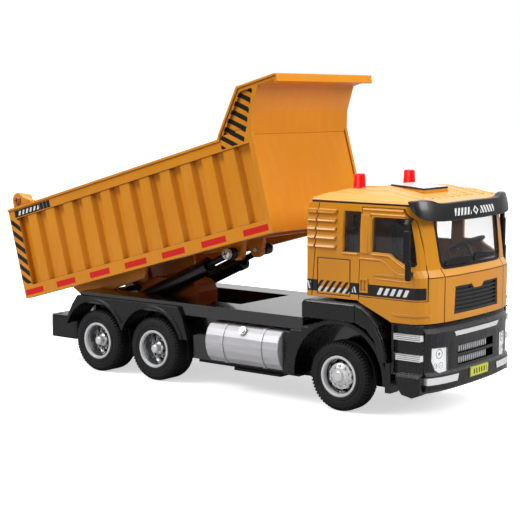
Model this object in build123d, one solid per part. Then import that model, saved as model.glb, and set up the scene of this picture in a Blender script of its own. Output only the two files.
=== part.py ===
from build123d import *
import os
from functools import cache, reduce
from math import cos, hypot, radians, sin

# Toy tipper truck, millimetres. It is drawn with X forward from the rearmost axle, Y to the
# truck's left and Z up from the ground. save() shifts each piece back by X_MID, which puts
# the origin under the middle of the truck. Side pieces are drawn on the right (negative Y).

os.makedirs("parts", exist_ok=True)

# ---- driving dimensions ----
X_MID = 55.505               # rearmost axle to the middle of the overall length
RUN_GAP = 0.05               # clearance per side of turning parts and the battery cover
TYRE_R = 12.5                # tyre outside radius
AXLE_Z = 12.5                # axle height
REAR_X, MIDDLE_X, FRONT_X = 0.0, 30.4, 117.5     # the three axles
TRACK_OUT = 26.7             # |Y| of the outer tyre faces
FRONT_TYRE_W = 7.8
REAR_TYRE_W = 11.2
HUB_R = 7.45                 # tyre seat on the hub
AXLE_R = 1.0
HINGE = (-15.5, 28.5)        # bed hinge, X and Z
HINGE_PIN_R = 1.25
BED_TILT = 15.34             # tilt of the bed in the stored position, degrees
BED_ORG = (-37.11, 26.71)    # rear lower corner of the stored bed, X and Z
RAM_A = (5.0, 26.0)          # lower ram pivot, X and Z
RAM_B_BED = (96.5, -2.0)     # upper ram pivot, bed coordinates
RAM_PIN_R = 1.2
RAM_Y = 10.6                 # |Y| of the ram centres
RAM_ANGLE = 24.8             # ram angle in the stored position, degrees
FAR_Y = 40.0                 # side cutters start beyond the sides
FAR_X = 165.0                # front cutters end ahead of the nose


# ---- helpers ----
def box(x0, x1, y0, y1, z0, z1):
    return Pos((x0 + x1) / 2, (y0 + y1) / 2, (z0 + z1) / 2) * Box(x1 - x0, y1 - y0, z1 - z0)


def mid_box(x0, x1, half_width, z0, z1):
    """Box centred across the truck."""
    return box(x0, x1, -half_width, half_width, z0, z1)


def flip(shape):
    """Mirror image on the other side of the truck."""
    return mirror(shape, about=Plane.XZ)


def both(shape):
    return shape + flip(shape)


def joined(shapes):
    return reduce(lambda first, second: first + second, shapes)


def sides(inner, outer):
    """Y ranges of a feature on the right and on the left."""
    return (-outer, -inner), (inner, outer)


def face_of(points):
    return make_face(Polyline(*points, close=True))


def prism_y(outline, y0, y1):
    """Outline in X, Z drawn along Y."""
    return extrude(face_of([(x, y0, z) for x, z in outline]), amount=y1 - y0, dir=(0, 1, 0))


def prism_x(outline, x0, x1):
    """Outline in Y, Z drawn along X."""
    return extrude(face_of([(x0, y, z) for y, z in outline]), amount=x1 - x0, dir=(1, 0, 0))


def prism_z(outline, z0, z1):
    """Outline in X, Y drawn along Z."""
    return extrude(face_of([(x, y, z0) for x, y in outline]), amount=z1 - z0, dir=(0, 0, 1))


def from_side(outline, y):
    """Prism reaching in from beyond the right side to |Y| = y."""
    return prism_y(outline, -FAR_Y, -y)


def from_front(outline, x=150):
    """Prism reaching back from ahead of the nose to x."""
    return prism_x(outline, x, FAR_X)


def cyl_y(x, z, radius, y0, y1):
    return Pos(x, (y0 + y1) / 2, z) * Rot(90, 0, 0) * Cylinder(radius, abs(y1 - y0))


def cyl_z(x, y, radius, z0, z1):
    return Pos(x, y, (z0 + z1) / 2) * Cylinder(radius, z1 - z0)


def cyl_x(y, z, radius, x0, x1):
    return Pos((x0 + x1) / 2, y, z) * Rot(0, 90, 0) * Cylinder(radius, x1 - x0)


def turned_y(profile, x, z):
    """Profile of (radius, y) turned about a line along Y through x, z."""
    face = face_of([(radius, y, 0) for radius, y in profile])
    return Pos(x, 0, z) * revolve(face, Axis.Y, 360)


def turned_z(profile, x, y, z):
    """Profile of (radius, height) turned about an upright line, standing on z."""
    face = face_of([(radius, 0, height) for radius, height in profile])
    return Pos(x, y, z) * revolve(face, Axis.Z, 360)


def arc(x, z, radius, start, end, steps):
    """Points on an arc, angles in degrees."""
    angles = [radians(start + (end - start) * i / steps) for i in range(steps + 1)]
    return [(x + radius * cos(a), z + radius * sin(a)) for a in angles]


def inset(outline, distance):
    """Moves every side of a closed anticlockwise outline inwards."""
    lines = []
    for (x0, y0), (x1, y1) in zip(outline, outline[1:] + outline[:1]):
        dx, dy = x1 - x0, y1 - y0
        length = hypot(dx, dy)
        lines.append((x0 - dy / length * distance, y0 + dx / length * distance, dx, dy))
    points = []
    for i, (bx, by, bdx, bdy) in enumerate(lines):
        ax, ay, adx, ady = lines[i - 1]
        along = ((bx - ax) * bdy - (by - ay) * bdx) / (adx * bdy - ady * bdx)
        points.append((ax + adx * along, ay + ady * along))
    return points


def soft(shape, edges, radius):
    """Rounds edges, or returns the sharp shape where the kernel can't build the fillet."""
    try:
        rounded = fillet(edges, radius)
        if rounded.is_valid and rounded.volume > 0:
            return rounded
    except Exception:
        pass
    return shape


def largest(shape):
    return shape.solids().sort_by(SortBy.VOLUME)[-1]


def to_world(shape):
    """Bed coordinates to truck coordinates at the stored tilt."""
    return Pos(BED_ORG[0], 0, BED_ORG[1]) * Rot(0, -BED_TILT, 0) * shape


def save(name, shape):
    solids = (Pos(-X_MID, 0, 0) * shape).solids()
    piece = solids[0] if len(solids) == 1 else Compound(children=list(solids))
    piece.label = name
    export_step(piece, "parts/" + name + ".step")


def save_pair(name, right):
    save(name + "_right", right)
    save(name + "_left", flip(right))


# =====================================================================
# Wheels: three axles with hubs and tyres
# =====================================================================
# Hub profiles are (radius, depth inwards from the outer tyre face).
# holes: (pitch radius, radius, depth); pegs, set between the holes:
# (pitch radius, radius, outer depth, inner depth)
FRONT_HUB = dict(
    width=FRONT_TYRE_W, axle_depth=0.9, grooved=False, count=10,
    holes=(5.15, 0.62, 5.5), pegs=(3.75, 0.42, 0.55, 2.6),
    profile=[
        (0, 0.9), (0, -0.15), (1.5, -0.15), (1.9, 0.1), (2.1, 0.5), (3.0, 0.75), (4.6, 1.5),
        (5.7, 2.9), (6.1, 2.9), (6.35, 0.5), (6.5, 0.1), (6.9, 0), (7.3, 0.1), (HUB_R, 0.4),
        (HUB_R, FRONT_TYRE_W), (6.6, FRONT_TYRE_W), (6.2, 4.4), (2.2, 4.4), (2.2, 7.0),
        (AXLE_R, 7.0), (AXLE_R, 0.9)])
REAR_HUB = dict(
    width=REAR_TYRE_W, axle_depth=2.2, grooved=True, count=8,
    holes=(4.25, 0.68, 8), pegs=(3.55, 0.4, 3.6, 5.4),
    profile=[
        (0, 2.2), (0, 0.35), (1.2, 0.35), (1.6, 0.7), (1.8, 2.6), (2.5, 3.0), (2.7, 4.6),
        (4.9, 4.9), (5.2, 4.6), (6.1, 1.4), (6.35, 0.4), (6.5, 0.1), (6.9, 0), (7.3, 0.1),
        (HUB_R, 0.4), (HUB_R, REAR_TYRE_W), (6.6, REAR_TYRE_W), (6.2, 6.4), (2.2, 6.4),
        (2.2, 9.8), (AXLE_R, 9.8), (AXLE_R, 2.2)])


def turned_wheel(profile, x):
    """Profile of (radius, depth inwards from the outer tyre face), on the right."""
    return turned_y([(radius, depth - TRACK_OUT) for radius, depth in profile], x, AXLE_Z)


def tyres(x, width, grooved):
    shoulder = [(TYRE_R, 2.1), (TYRE_R - 0.35, 1.1), (TYRE_R - 1.4, 0.35), (TYRE_R - 3.2, 0)]
    profile = [(HUB_R, width), (HUB_R + 0.5, width)]
    profile += [(radius, width - depth) for radius, depth in reversed(shoulder)]
    if grooved:
        middle = width / 2
        profile += [(TYRE_R, middle + 0.5), (TYRE_R - 1.0, middle + 0.5),
                    (TYRE_R - 1.0, middle - 0.5), (TYRE_R, middle - 0.5)]
    profile += shoulder + [(HUB_R + 0.5, 0), (HUB_R, 0.2)]
    return both(turned_wheel(profile, x))


def hubs(x, style):
    def peg(pitch_r, angle, radius, outer, inner):
        return cyl_y(x + pitch_r * cos(angle), AXLE_Z + pitch_r * sin(angle), radius,
                     -TRACK_OUT + outer, -TRACK_OUT + inner)

    hub = turned_wheel(style["profile"], x)
    hole_pitch_r, hole_r, hole_depth = style["holes"]
    peg_pitch_r, peg_r, peg_outer, peg_inner = style["pegs"]
    step = 360 / style["count"]
    for k in range(style["count"]):
        hub -= peg(hole_pitch_r, radians(step * k), hole_r, 0, hole_depth)
        hub += peg(peg_pitch_r, radians(step * (k + 0.5)), peg_r, peg_outer, peg_inner)
    return both(hub)


for name, x, style in (("rear", REAR_X, REAR_HUB), ("middle", MIDDLE_X, REAR_HUB),
                       ("front", FRONT_X, FRONT_HUB)):
    axle_tip = TRACK_OUT - style["axle_depth"]
    save(name + "_axle", cyl_y(x, AXLE_Z, AXLE_R, -axle_tip, axle_tip))
    save(name + "_hubs", hubs(x, style))
    save(name + "_tyres", tyres(x, style["width"], style["grooved"]))

# =====================================================================
# Chassis
# =====================================================================
FRAME_Z = 10.0               # bottom of the frame, top of the base plate
BASE_Z = 8.6                 # underside of the base plate
REAR_HW = 14.8               # half width of the rear spine
MID_IN_HW = 19.5             # inside half width of the middle body
FRONT_HW = 16.0              # half width of the front spine
DECK_BACK, DECK_FRONT = -9.0, 102.0
DECK_UNDER, DECK_Z = 30.6, 32.0
DECK_HW = 26.6
SKIRT_T = 1.2                # skirts under the deck edges and the window edges
SKIRT_Z = 27.5               # foot of the outer skirts
WINDOW_HW = 15.5             # half width of the opening in the deck
WINDOW_FRONT = 65.0
BATTERY_X = (66.4, 86.6)     # battery opening in the base plate
BATTERY_HW = 7.0
# x, half width of the frame, thickness of the saddle
AXLE_SEATS = ((REAR_X, REAR_HW, 1.4), (MIDDLE_X, REAR_HW, 1.4), (FRONT_X, FRONT_HW, 1.6))
SCREW_R = 0.9
SCREWS = ((-8.0, 24.6), (22.0, 21.6), (92.0, 29.4), (132.0, 33.6))   # x, top of the boss


def chassis_frame():
    deck = mid_box(DECK_BACK, DECK_FRONT, DECK_HW, DECK_UNDER, DECK_Z)
    deck -= mid_box(DECK_BACK - 0.1, WINDOW_FRONT, WINDOW_HW, 30, 33)
    skirts = both(box(DECK_BACK, DECK_FRONT, -DECK_HW, -DECK_HW + SKIRT_T, SKIRT_Z, DECK_UNDER))
    window = both(box(DECK_BACK, 66.5, -WINDOW_HW - SKIRT_T, -WINDOW_HW, 25.6, DECK_UNDER))
    window += mid_box(WINDOW_FRONT, 66.5, WINDOW_HW, 26, DECK_UNDER)
    floor = mid_box(46, WINDOW_FRONT, WINDOW_HW, 25.4, 26.8)
    # spines and middle body, open underneath
    rear = mid_box(-16, 46, REAR_HW, FRAME_Z, 26.0) - mid_box(-14.6, 46, 13.4, 9, 24.4)
    middle = mid_box(46, 97, 21, FRAME_Z, DECK_UNDER) - mid_box(47.5, 95.5, MID_IN_HW, 9, 25.4)
    middle -= mid_box(44, WINDOW_FRONT, WINDOW_HW, 26.8, 31)
    middle -= mid_box(67, 95.5, MID_IN_HW, 25, 29.2)
    front = mid_box(95.5, 150.3, FRONT_HW, FRAME_Z, 35.0) - mid_box(97, 148.8, 14.4, 9, 33.4)
    cross = mid_box(143, 150.3, 19.9, 12, 34.4) - mid_box(143, 148.8, 14.4, 9, 33.4)
    front -= mid_box(95, 96.5, 17, 32.2, 36)     # step that clears the lowered bed
    frame = deck + skirts + window + floor + rear + middle + front + cross
    # clearance for the bed's hinge ears, then the chassis hinge lugs
    frame -= both(box(-17, -9, -16, -12.4, 20.2, 27.0))
    for y0, y1 in sides(9.4, 12.2):
        frame += prism_y([(-9.5, 24.4), (-15.8, 24.4), (-18.6, 27.6), (-18.2, 30.2),
                          (-15.5, 31.6), (-12.8, 30.2), (-9.5, 26)], y0, y1)
    frame -= cyl_y(*HINGE, HINGE_PIN_R, -13, 13)
    # slots for the ram tubes
    slots = both(box(1.0, 47, -14.2, -7.0, 21.8, 31))
    frame -= slots + both(box(46.5, 51.4, -13.6, -7.6, 25.95, 27.5))
    # seat of the ram cradle
    frame += mid_box(-0.5, 36.6, 6.9, 21.4, 22.8)
    frame -= mid_box(0.0, 36.1, 6.0, 22.8, 27)
    frame += both(box(-0.5, 36.6, -6.9, -6.1, 21.4, 24.4))
    frame -= cyl_y(*RAM_A, RAM_PIN_R + RUN_GAP, -14.1, 14.1)
    for x, boss_top in SCREWS:
        frame += cyl_z(x, 0, 2.1, FRAME_Z, boss_top)
        frame -= cyl_z(x, 0, SCREW_R, FRAME_Z - 1, 18)
    # axle slots, open downwards and closed by the base plate
    slot_r = AXLE_R + RUN_GAP
    for x, half_width, _ in AXLE_SEATS:
        frame -= cyl_y(x, AXLE_Z, slot_r, -half_width - 1, half_width + 1)
        frame -= mid_box(x - slot_r, x + slot_r, half_width + 1, FRAME_Z - 1, AXLE_Z)
    # battery box ribs
    ribs = mid_box(65.0, 66.2, 8, FRAME_Z, 25.5) + mid_box(86.8, 88.0, 8, FRAME_Z, 29.4)
    return frame + ribs


def base_plate():
    """Underside cover with the axle saddles."""
    plate = mid_box(-14, 47.6, REAR_HW, BASE_Z, FRAME_Z)
    plate += mid_box(47.6, 95.4, MID_IN_HW, BASE_Z, FRAME_Z)
    plate += mid_box(95.4, 142, FRONT_HW, BASE_Z, FRAME_Z)
    saddle = AXLE_R + RUN_GAP - 0.03     # half length, just inside the axle slot
    for x, half_width, wall in AXLE_SEATS:
        plate += both(box(x - saddle, x + saddle, -half_width, -half_width + wall,
                          FRAME_Z, AXLE_Z - AXLE_R - RUN_GAP))
    plate = soft(plate, plate.edges().filter_by(Axis.Z).group_by(SortBy.LENGTH)[0], 0.3)
    plate -= mid_box(*BATTERY_X, BATTERY_HW, 8, 11)
    for k in range(5):                   # slots under the speaker
        plate -= box(50, 59, -5.2 + 2.4 * k, -4.4 + 2.4 * k, 8, 11)
    for x, _ in SCREWS:
        plate -= cyl_z(x, 0, 2.0, 8.5, 9.3)
        plate -= cyl_z(x, 0, SCREW_R + 0.02, 8.5, 11)
    return plate


def base_screw(x):
    """Pan-head screw driven upwards, with a cross recess."""
    z, tip, head_r, head_h = 8.62, 17.5, 1.9, 0.66
    screw = turned_z([(0, 0), (head_r * 0.75, 0), (head_r, head_h * 0.5), (head_r, head_h),
                      (SCREW_R, head_h), (SCREW_R, tip - z), (0, tip - z)], x, 0, z)
    cross = Box(head_r * 1.1, 0.35, 0.6), Box(0.35, head_r * 1.1, 0.6)
    return screw - joined(Pos(x, 0, z) * bar for bar in cross)


def battery_cover():
    x0, x1 = BATTERY_X
    cover = mid_box(x0 + RUN_GAP, x1 - RUN_GAP, BATTERY_HW - RUN_GAP, BASE_Z, FRAME_Z)
    cover += mid_box(65.4, 87.7, 20.4, 7.6, BASE_Z)
    cover = soft(cover, cover.edges().filter_by(Axis.Z), 0.8)
    return cover - both(box(70, 83, -14, -13.2, 7, 7.9))


def button_cells():
    starts = [68.5 + 5.4 * k for k in range(3)]
    return joined(cyl_x(0, 15.9, 5.75, x, x + 5.3) for x in starts)


def ram_cradle():
    """Block between the rams, bored for the lower ram pin."""
    cradle = prism_y([(0.1, 22.8), (36.0, 22.8), (36.0, 33.0), (34.6, 36.0), (32.0, 37.4),
                      (12.0, 37.4), (8.0, 35.6), (5.0, 31.5), (1.6, 28.6), (0.1, 26.5)],
                     -5.9, 5.9)
    cradle = soft(cradle, cradle.edges().filter_by(Axis.Y).group_by(Axis.Z)[-1], 0.8)
    return cradle - cyl_y(*RAM_A, RAM_PIN_R, -7, 7)


def rear_bumper():
    """Hollow block with two upright blind holes."""
    block = mid_box(-31.9, -16.0, 22, 10.7, 20.0)
    block = soft(block, block.edges().filter_by(Axis.Z), 2.0)
    block = soft(block, block.edges().group_by(Axis.Z)[-1], 0.6)
    block -= mid_box(-26.5, -16.5, 19.5, 10.0, 17.5)
    block -= both(cyl_z(-28.9, -19.0, 1.2, 14.0, 21.0))
    return block - both(box(-32.5, -31.4, -18.5, -10.0, 13.4, 16.6))


save("chassis_frame", chassis_frame())
save("base_plate", base_plate())
save("base_screws", joined(base_screw(x) for x, _ in SCREWS))
save("battery_cover", battery_cover())
save("button_cells", button_cells())
save("speaker", turned_z([(0, 0), (8.5, 0), (8.5, 1.2), (6.0, 2.0), (6.0, 4.0), (0, 4.0)],
                         56.3, 0, FRAME_Z))
save("ram_cradle", ram_cradle())
save("ram_base_pin", cyl_y(*RAM_A, RAM_PIN_R, -14.0, 14.0))
save("bed_hinge_pin", cyl_y(*HINGE, HINGE_PIN_R, -15.9, 15.9))
save("rear_bumper", rear_bumper())

# =====================================================================
# Fenders, tanks, mudguards and steps
# =====================================================================
REAR_ARCH_R = 16.2
FRONT_ARCH_R = 18.7
PLATE_IN = -26.65            # inner face of the fender side plate, Y
TANK_X = (59.4, 93.4)
STRAP_X = (67.3, 85.3)


def rear_fender():
    """M-shaped side plate with a raised lip and a tunnel at each arch."""
    plate = prism_y([(-16.4, 18.2), (-16.0, 20.4), (-12.6, 26.6), (-9.6, 30.4), (44.2, 30.55),
                     (46.6, 26.0), (49.0, 18.2)], -28.0, PLATE_IN)
    lips, tunnels = [], []
    for x in (REAR_X, MIDDLE_X):
        ring = cyl_y(x, AXLE_Z, 17.3, -28.5, PLATE_IN) - cyl_y(x, AXLE_Z, REAR_ARCH_R, -29, -26)
        lips.append(ring & box(x - 20, x + 20, -29, -26, 18.25, 31))
        tunnels.append(prism_y(arc(x, AXLE_Z, 17.2, 22, 158, 24)
                               + arc(x, AXLE_Z, REAR_ARCH_R, 158, 22, 24), -26.7, -17.2))
    plate += joined(lips)
    for x in (REAR_X, MIDDLE_X):
        plate -= cyl_y(x, AXLE_Z, REAR_ARCH_R, -29, -26)
    tunnel = joined(tunnels) & box(-20, 60, -27, -17, 18.3, 30.5)
    # clear the middle body and the deck skirt
    tunnel -= box(45.95, 60, -21.05, -17, 10, 32)
    tunnel -= box(DECK_BACK - 0.1, DECK_FRONT + 0.1, -DECK_HW - 0.02,
                  -DECK_HW + SKIRT_T + 0.02, SKIRT_Z - 0.05, 31)
    return plate + tunnel


def tank_section(swell, x0, x1):
    """Tank cross-section, swollen outwards, drawn along X."""
    return prism_x([
        (-21.0, 11.8 - swell), (-26.6, 11.8 - swell), (-28.5 - swell * 0.9, 13.8 - swell * 0.3),
        (-29.6 - swell, 16.6), (-30.0 - swell, 19.3), (-29.6 - swell, 22.0),
        (-28.6 - swell * 0.9, 24.2), (-27.0, 25.8 + swell * 0.7), (-22.4, 26.3 + swell),
        (-21.0, 26.3 + swell)], x0, x1)


def fuel_tank():
    tank = tank_section(0, *TANK_X)
    for end in (-1, 0):                  # front end, then rear end
        tank = soft(tank, tank.faces().sort_by(Axis.X)[end].edges(), 0.5)
    return tank


def tank_strap(x):
    return tank_section(0.3, x - 0.8, x + 0.8) - tank_section(0, x - 1, x + 1)


def tank_cap():
    cap = Cylinder(1.7, 2.2) + Pos(0, 0, 1.2) * Cylinder(1.3, 0.5)
    return Pos(76.4, -28.2, 24.4) * Rot(52, 0, 0) * cap - tank_section(0, 70, 84)


def mudguard():
    """Front mudguard with the lining of its wheel arch."""
    wheel_space = cyl_y(FRONT_X, AXLE_Z, FRONT_ARCH_R, -34, -15)
    guard = prism_y([
        (105.8, 33.2), (105.8, 38.4), (106.6, 39.5), (108.0, 39.9), (128.0, 39.9),
        (131.0, 38.9), (134.2, 36.6), (137.2, 33.2), (139.4, 29.0), (140.7, 24.8),
        (141.2, 20.8), (137.7, 20.8), (137.3, 24.4), (135.6, 28.4), (132.6, 31.4),
        (128.3, 33.2)], -33.0, -16.1)
    guard = soft(guard, guard.faces().sort_by(Axis.Y)[0].edges(), 1.1)
    liner = prism_y(arc(FRONT_X, AXLE_Z, 20.2, 182, -2, 36)
                    + arc(FRONT_X, AXLE_Z, FRONT_ARCH_R, -2, 182, 36), -27.2, -16.1)
    liner -= box(90, 145, -34, -15, 33.1, 45)
    liner -= prism_y([(128.3, 33.3), (132.6, 31.4), (135.6, 28.4), (137.3, 24.4),
                      (137.7, 20.7), (142, 20.7), (142, 34)], -34, -15)
    # panel behind the wheel, cut back round the chassis
    back = prism_y([(94.0, 10.8), (97.6, 10.8), (99.0, 19.0), (102.0, 26.0), (94.0, 26.5)],
                   -27.2, -21.1)
    back -= wheel_space
    back += prism_y([(97.0, 10.8), (98.9, 10.8), (98.9, 14.0), (100.5, 20.0), (102.6, 25.4),
                     (105.5, 29.0), (97.0, 29.0)], -27.2, -16.1)
    back -= wheel_space
    back -= box(90, 96.99, -21.1, -15, 9, 31)
    back -= box(90, 102.1, -27.3, -25.3, 27.4, 33) + box(90, 102.1, -30, -15, 30.5, 33)
    guard = guard + liner + back
    guard -= box(128.3, 128.65, -34, -32.65, 32, 41)      # joint line on the outer face
    guard += box(137.2, 139.4, -27.2, -22.0, 9.4, 20.8)   # flap in front of the wheel
    return guard - box(102, 151, -16.05, 0, 9, 36)        # clears the front spine


def step_block():
    block = box(141.6, 150.2, -30.4, -20.0, 17.0, 34.7)
    block += box(150.2, 153.2, -30.4, -28.6, 17.0, 34.5)
    for z0, z1 in ((31.25, 34.0), (24.55, 29.1), (17.6, 22.3)):
        block -= box(142.6, 153.3, -31, -29.2, z0, z1)
    # pockets of the two treads
    block -= box(142.9, 153.3, -31, -28.8, 29.15, 31.25) + box(143.7, 153.3, -31, -28.8,
                                                               22.35, 24.55)
    foot = prism_y([(143.8, 16.4), (144.6, 12.6), (146.2, 10.6), (150.2, 9.8), (150.2, 16.4)],
                   -31.0, -22.0)
    toe = prism_y([(150.2, 9.8), (153.2, 11.0), (153.2, 16.4), (150.2, 16.4)], -31.0, -28.6)
    ledge = box(143.8, 150.2, -31.0, -22.0, 16.4, 17.0)
    ledge += box(150.2, 153.2, -31, -28.6, 16.4, 17.0)
    return block + foot + toe + ledge


def tread(x0, x1, z0, z1):
    """Side step with three grooves in its outer face."""
    step = box(x0, x1, -31.2, -28.8, z0, z1)
    for k in range(3):
        z = z0 + 0.62 * k
        step -= box(x0 - 1, x1 + 1, -31.3, -30.9, z + 0.35, z + 0.6)
    return step


save_pair("rear_fender", rear_fender())
save_pair("fuel_tank", fuel_tank())
save("tank_straps", both(joined(tank_strap(x) for x in STRAP_X)))
save("tank_caps", both(tank_cap()))
save_pair("mudguard", mudguard())
save("step_blocks", both(step_block()))
save("side_steps", both(tread(143.0, 153.2, 29.2, 31.2) + tread(143.8, 153.2, 22.4, 24.4)))

# =====================================================================
# Cab
# =====================================================================
CAB_HW = 31.24               # half width
CAB_BACK = 107.3             # rear wall
SKIN = 1.5                   # wall thickness
# plan of the nose at the bonnet, (|y|, x)
NOSE = ((CAB_HW, 149.6), (30.9, 150.9), (30.0, 152.2), (28.6, 153.5), (26.8, 154.6),
        (24.0, 155.6), (20.0, 156.4), (15.0, 157.0), (8.0, 157.4), (0.0, 157.5))
# (z, forward shift of the nose)
CAB_LEVELS = ((30.0, -0.6), (36.0, -0.1), (50.2, 0.0), (52.6, -1.7), (82.0, -5.6))
# side view of the roof from front to back, (x, z)
ROOF = [(149.5, 75.0), (144.0, 76.0), (138.5, 77.0), (132.0, 78.3), (126.6, 79.0),
        (120.0, 78.4), (113.0, 76.9), (109.5, 75.6), (107.9, 73.8), (CAB_BACK, 71.5)]
# side view outlines, (x, z)
DOOR = [(128.7, 42.3), (153.9, 42.3), (153.9, 50.2), (149.9, 69.0), (149.0, 69.9),
        (147.6, 71.0), (146.6, 73.0), (129.7, 73.0)]
DOOR_WINDOW = [(134.2, 58.0), (141.3, 57.8), (143.0, 56.4), (147.5, 54.0), (150.0, 53.6),
               (150.7, 54.6), (150.0, 60.0), (148.6, 68.2), (147.6, 69.8), (135.0, 69.8),
               (134.2, 69.0)]
# front view outlines, (y, z)
WINDSCREEN = [(-19.9, 53.4), (19.9, 53.4), (21.4, 69.6), (-21.4, 69.6)]
GRILLE = [(-15.3, 37.0), (15.3, 37.0), (14.7, 46.4), (4.2, 46.4), (2.6, 44.8), (-2.6, 44.8),
          (-4.2, 46.4), (-14.7, 46.4)]
DOOR_AXIS = (152.75, -28.0)  # upright hinge line of the right door, X and Y
HATCH = (126.4, 140.65, 8.78)    # roof opening: x0, x1, half width
BUTTON_X = 132.5             # stem of the roof button
GLASS_GAP = 0.04             # gap round glass, grille and lenses


def nose_plan(shift, half_width, back, depth):
    """Closed plan outline, inset by depth; half_width limits its width."""
    right = [(x + shift, -y) for y, x in NOSE if y <= half_width + 0.001]
    if right[0][1] > -half_width + 0.01:
        # start where the nose curve meets the given half width
        for (y0, x0), (y1, x1) in zip(NOSE, NOSE[1:]):
            if y0 >= half_width >= y1:
                along = (y0 - half_width) / (y0 - y1)
                right.insert(0, (x0 + (x1 - x0) * along + shift, -half_width))
                break
    left = [(x, -y) for x, y in reversed(right[:-1])]
    outline = [(back, -half_width)] + right + left + [(back, half_width)]
    return inset(outline, depth) if depth else outline


def stack(levels, depth, half_width, back):
    """Ruled body through the nose plan at each (z, nose shift)."""
    faces = [face_of([(x, y, z) for x, y in nose_plan(shift, half_width, back, depth)])
             for z, shift in levels]
    return joined(loft([lower, upper], ruled=True) for lower, upper in zip(faces, faces[1:]))


@cache
def cab_solid(depth, open_down=True):
    """Solid cab, depth below its outer surface; open_down runs it past the cab's foot."""
    body = stack(CAB_LEVELS, depth, CAB_HW, CAB_BACK)
    if open_down:
        side = [(CAB_BACK + depth, 20.0), (165.0, 20.0)]
    else:
        side = [(CAB_BACK + depth, 41.0), (128.2, 41.0), (129.4, 40.3), (140.9, 35.3),
                (141.8, 34.8), (165.0, 34.8)]
    side += [(165.0, 74.4 - depth), (153.0, 74.4 - depth)]
    side += [(x + (depth if x < 108.5 else 0), z - depth) for x, z in ROOF]
    body &= prism_y(side, -40, 40)
    left = [(31.6 - depth, 20), (31.6 - depth, 58.0), (31.05 - depth, 66.0),
            (30.5 - depth, 74.0), (29.6 - depth, 75.2 - depth * 0.5),
            (27.4 - depth * 0.6, 76.4 - depth), (20.0, 78.0 - depth), (10.0, 79.0 - depth),
            (0, 79.3 - depth)]
    front_view = left + [(-y, z) for y, z in reversed(left[:-1])]
    return body & prism_x(front_view, 100, 165)


@cache
def cab_layer(near, deep):
    """Layer of the cab between two depths below its outer surface."""
    return cab_solid(near, False) - cab_solid(deep)


CAB_WALL = cab_layer(0.0, SKIN)
PROUD_WALL = cab_solid(-0.4) - cab_solid(SKIN)     # wall with a raised outer layer
HINGE_RELIEF = cyl_z(*DOOR_AXIS, 1.45, 42.3, 54.5)


def rounded_screen(outline):
    """Cutter of the windscreen outline with round corners."""
    prism = from_front(outline, 146)
    return soft(prism, prism.edges().filter_by(Axis.X), 1.6)


def joint_lines():
    """Cutters of the lines engraved in the cab skin."""
    lines = both(box(150, FAR_X, -20.7, -20.3, 34.0, 53.0))
    lines += mid_box(150, FAR_X, 30.0, 49.9, 50.25)
    lines += both(from_side([(109.2, 41.0), (109.5, 41.0), (112.1, 73.6), (111.8, 73.6)], 29))
    lines += both(box(111.6, 125.5, -FAR_Y, -29, 41.9, 54.8)
                  - box(112.0, 125.1, -41, -28, 42.3, 54.4))
    lines += both(box(128.7, 128.95, -FAR_Y, -29, 40.0, 42.5))
    lines += both(box(107, 149.5, -FAR_Y, -29.5, 73.85, 74.3))
    return lines + mid_box(106.0, 108.8, 31, 73.6, 74.0)


def louvres():
    """Five louvres by the right rear corner, parted by a slanting gap."""
    slats = [prism_y([(107.6, z), (119.6, z), (119.6, z - 0.5), (118.8, z - 1.3),
                      (107.6, z - 1.3)], -31.55, -30.2)
             for z in [71.4 - 3.0 * k for k in range(5)]]
    return joined(slats) - prism_y([(108.8, 40), (109.5, 40), (112.3, 75), (111.6, 75)],
                                   -33, -CAB_HW)


def cab_shell():
    shell = CAB_WALL - rounded_screen(WINDSCREEN)
    shell -= both(box(122.6, 129.4, -FAR_Y, -22, 57.3, 71.3))     # quarter windows
    shell -= both(from_side(DOOR, 26.9) + HINGE_RELIEF)
    shell -= both(cyl_z(*DOOR_AXIS, 0.55, 38.4, 42.4))            # holes for the door studs
    shell -= from_front(GRILLE)
    shell -= mid_box(*HATCH, 70, 85)
    shell -= cab_layer(0.0, 0.4) & joint_lines()
    shell += both(louvres())
    # raised line under each door
    shell += both(from_side([(142.1, 38.05), (154.6, 38.25), (154.6, 37.35), (143.3, 37.1)], 20)
                  & PROUD_WALL)
    shell -= mid_box(107.0, 107.7, 20, 46, 70)                    # recess in the rear wall
    # housing of the roof button with a shelf for its spring
    housing = mid_box(125.0, 142.0, 10.2, 71.0, 77.2) - mid_box(*HATCH, 72.2, 85)
    housing &= cab_solid(SKIN - 0.2)
    return shell + housing


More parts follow.
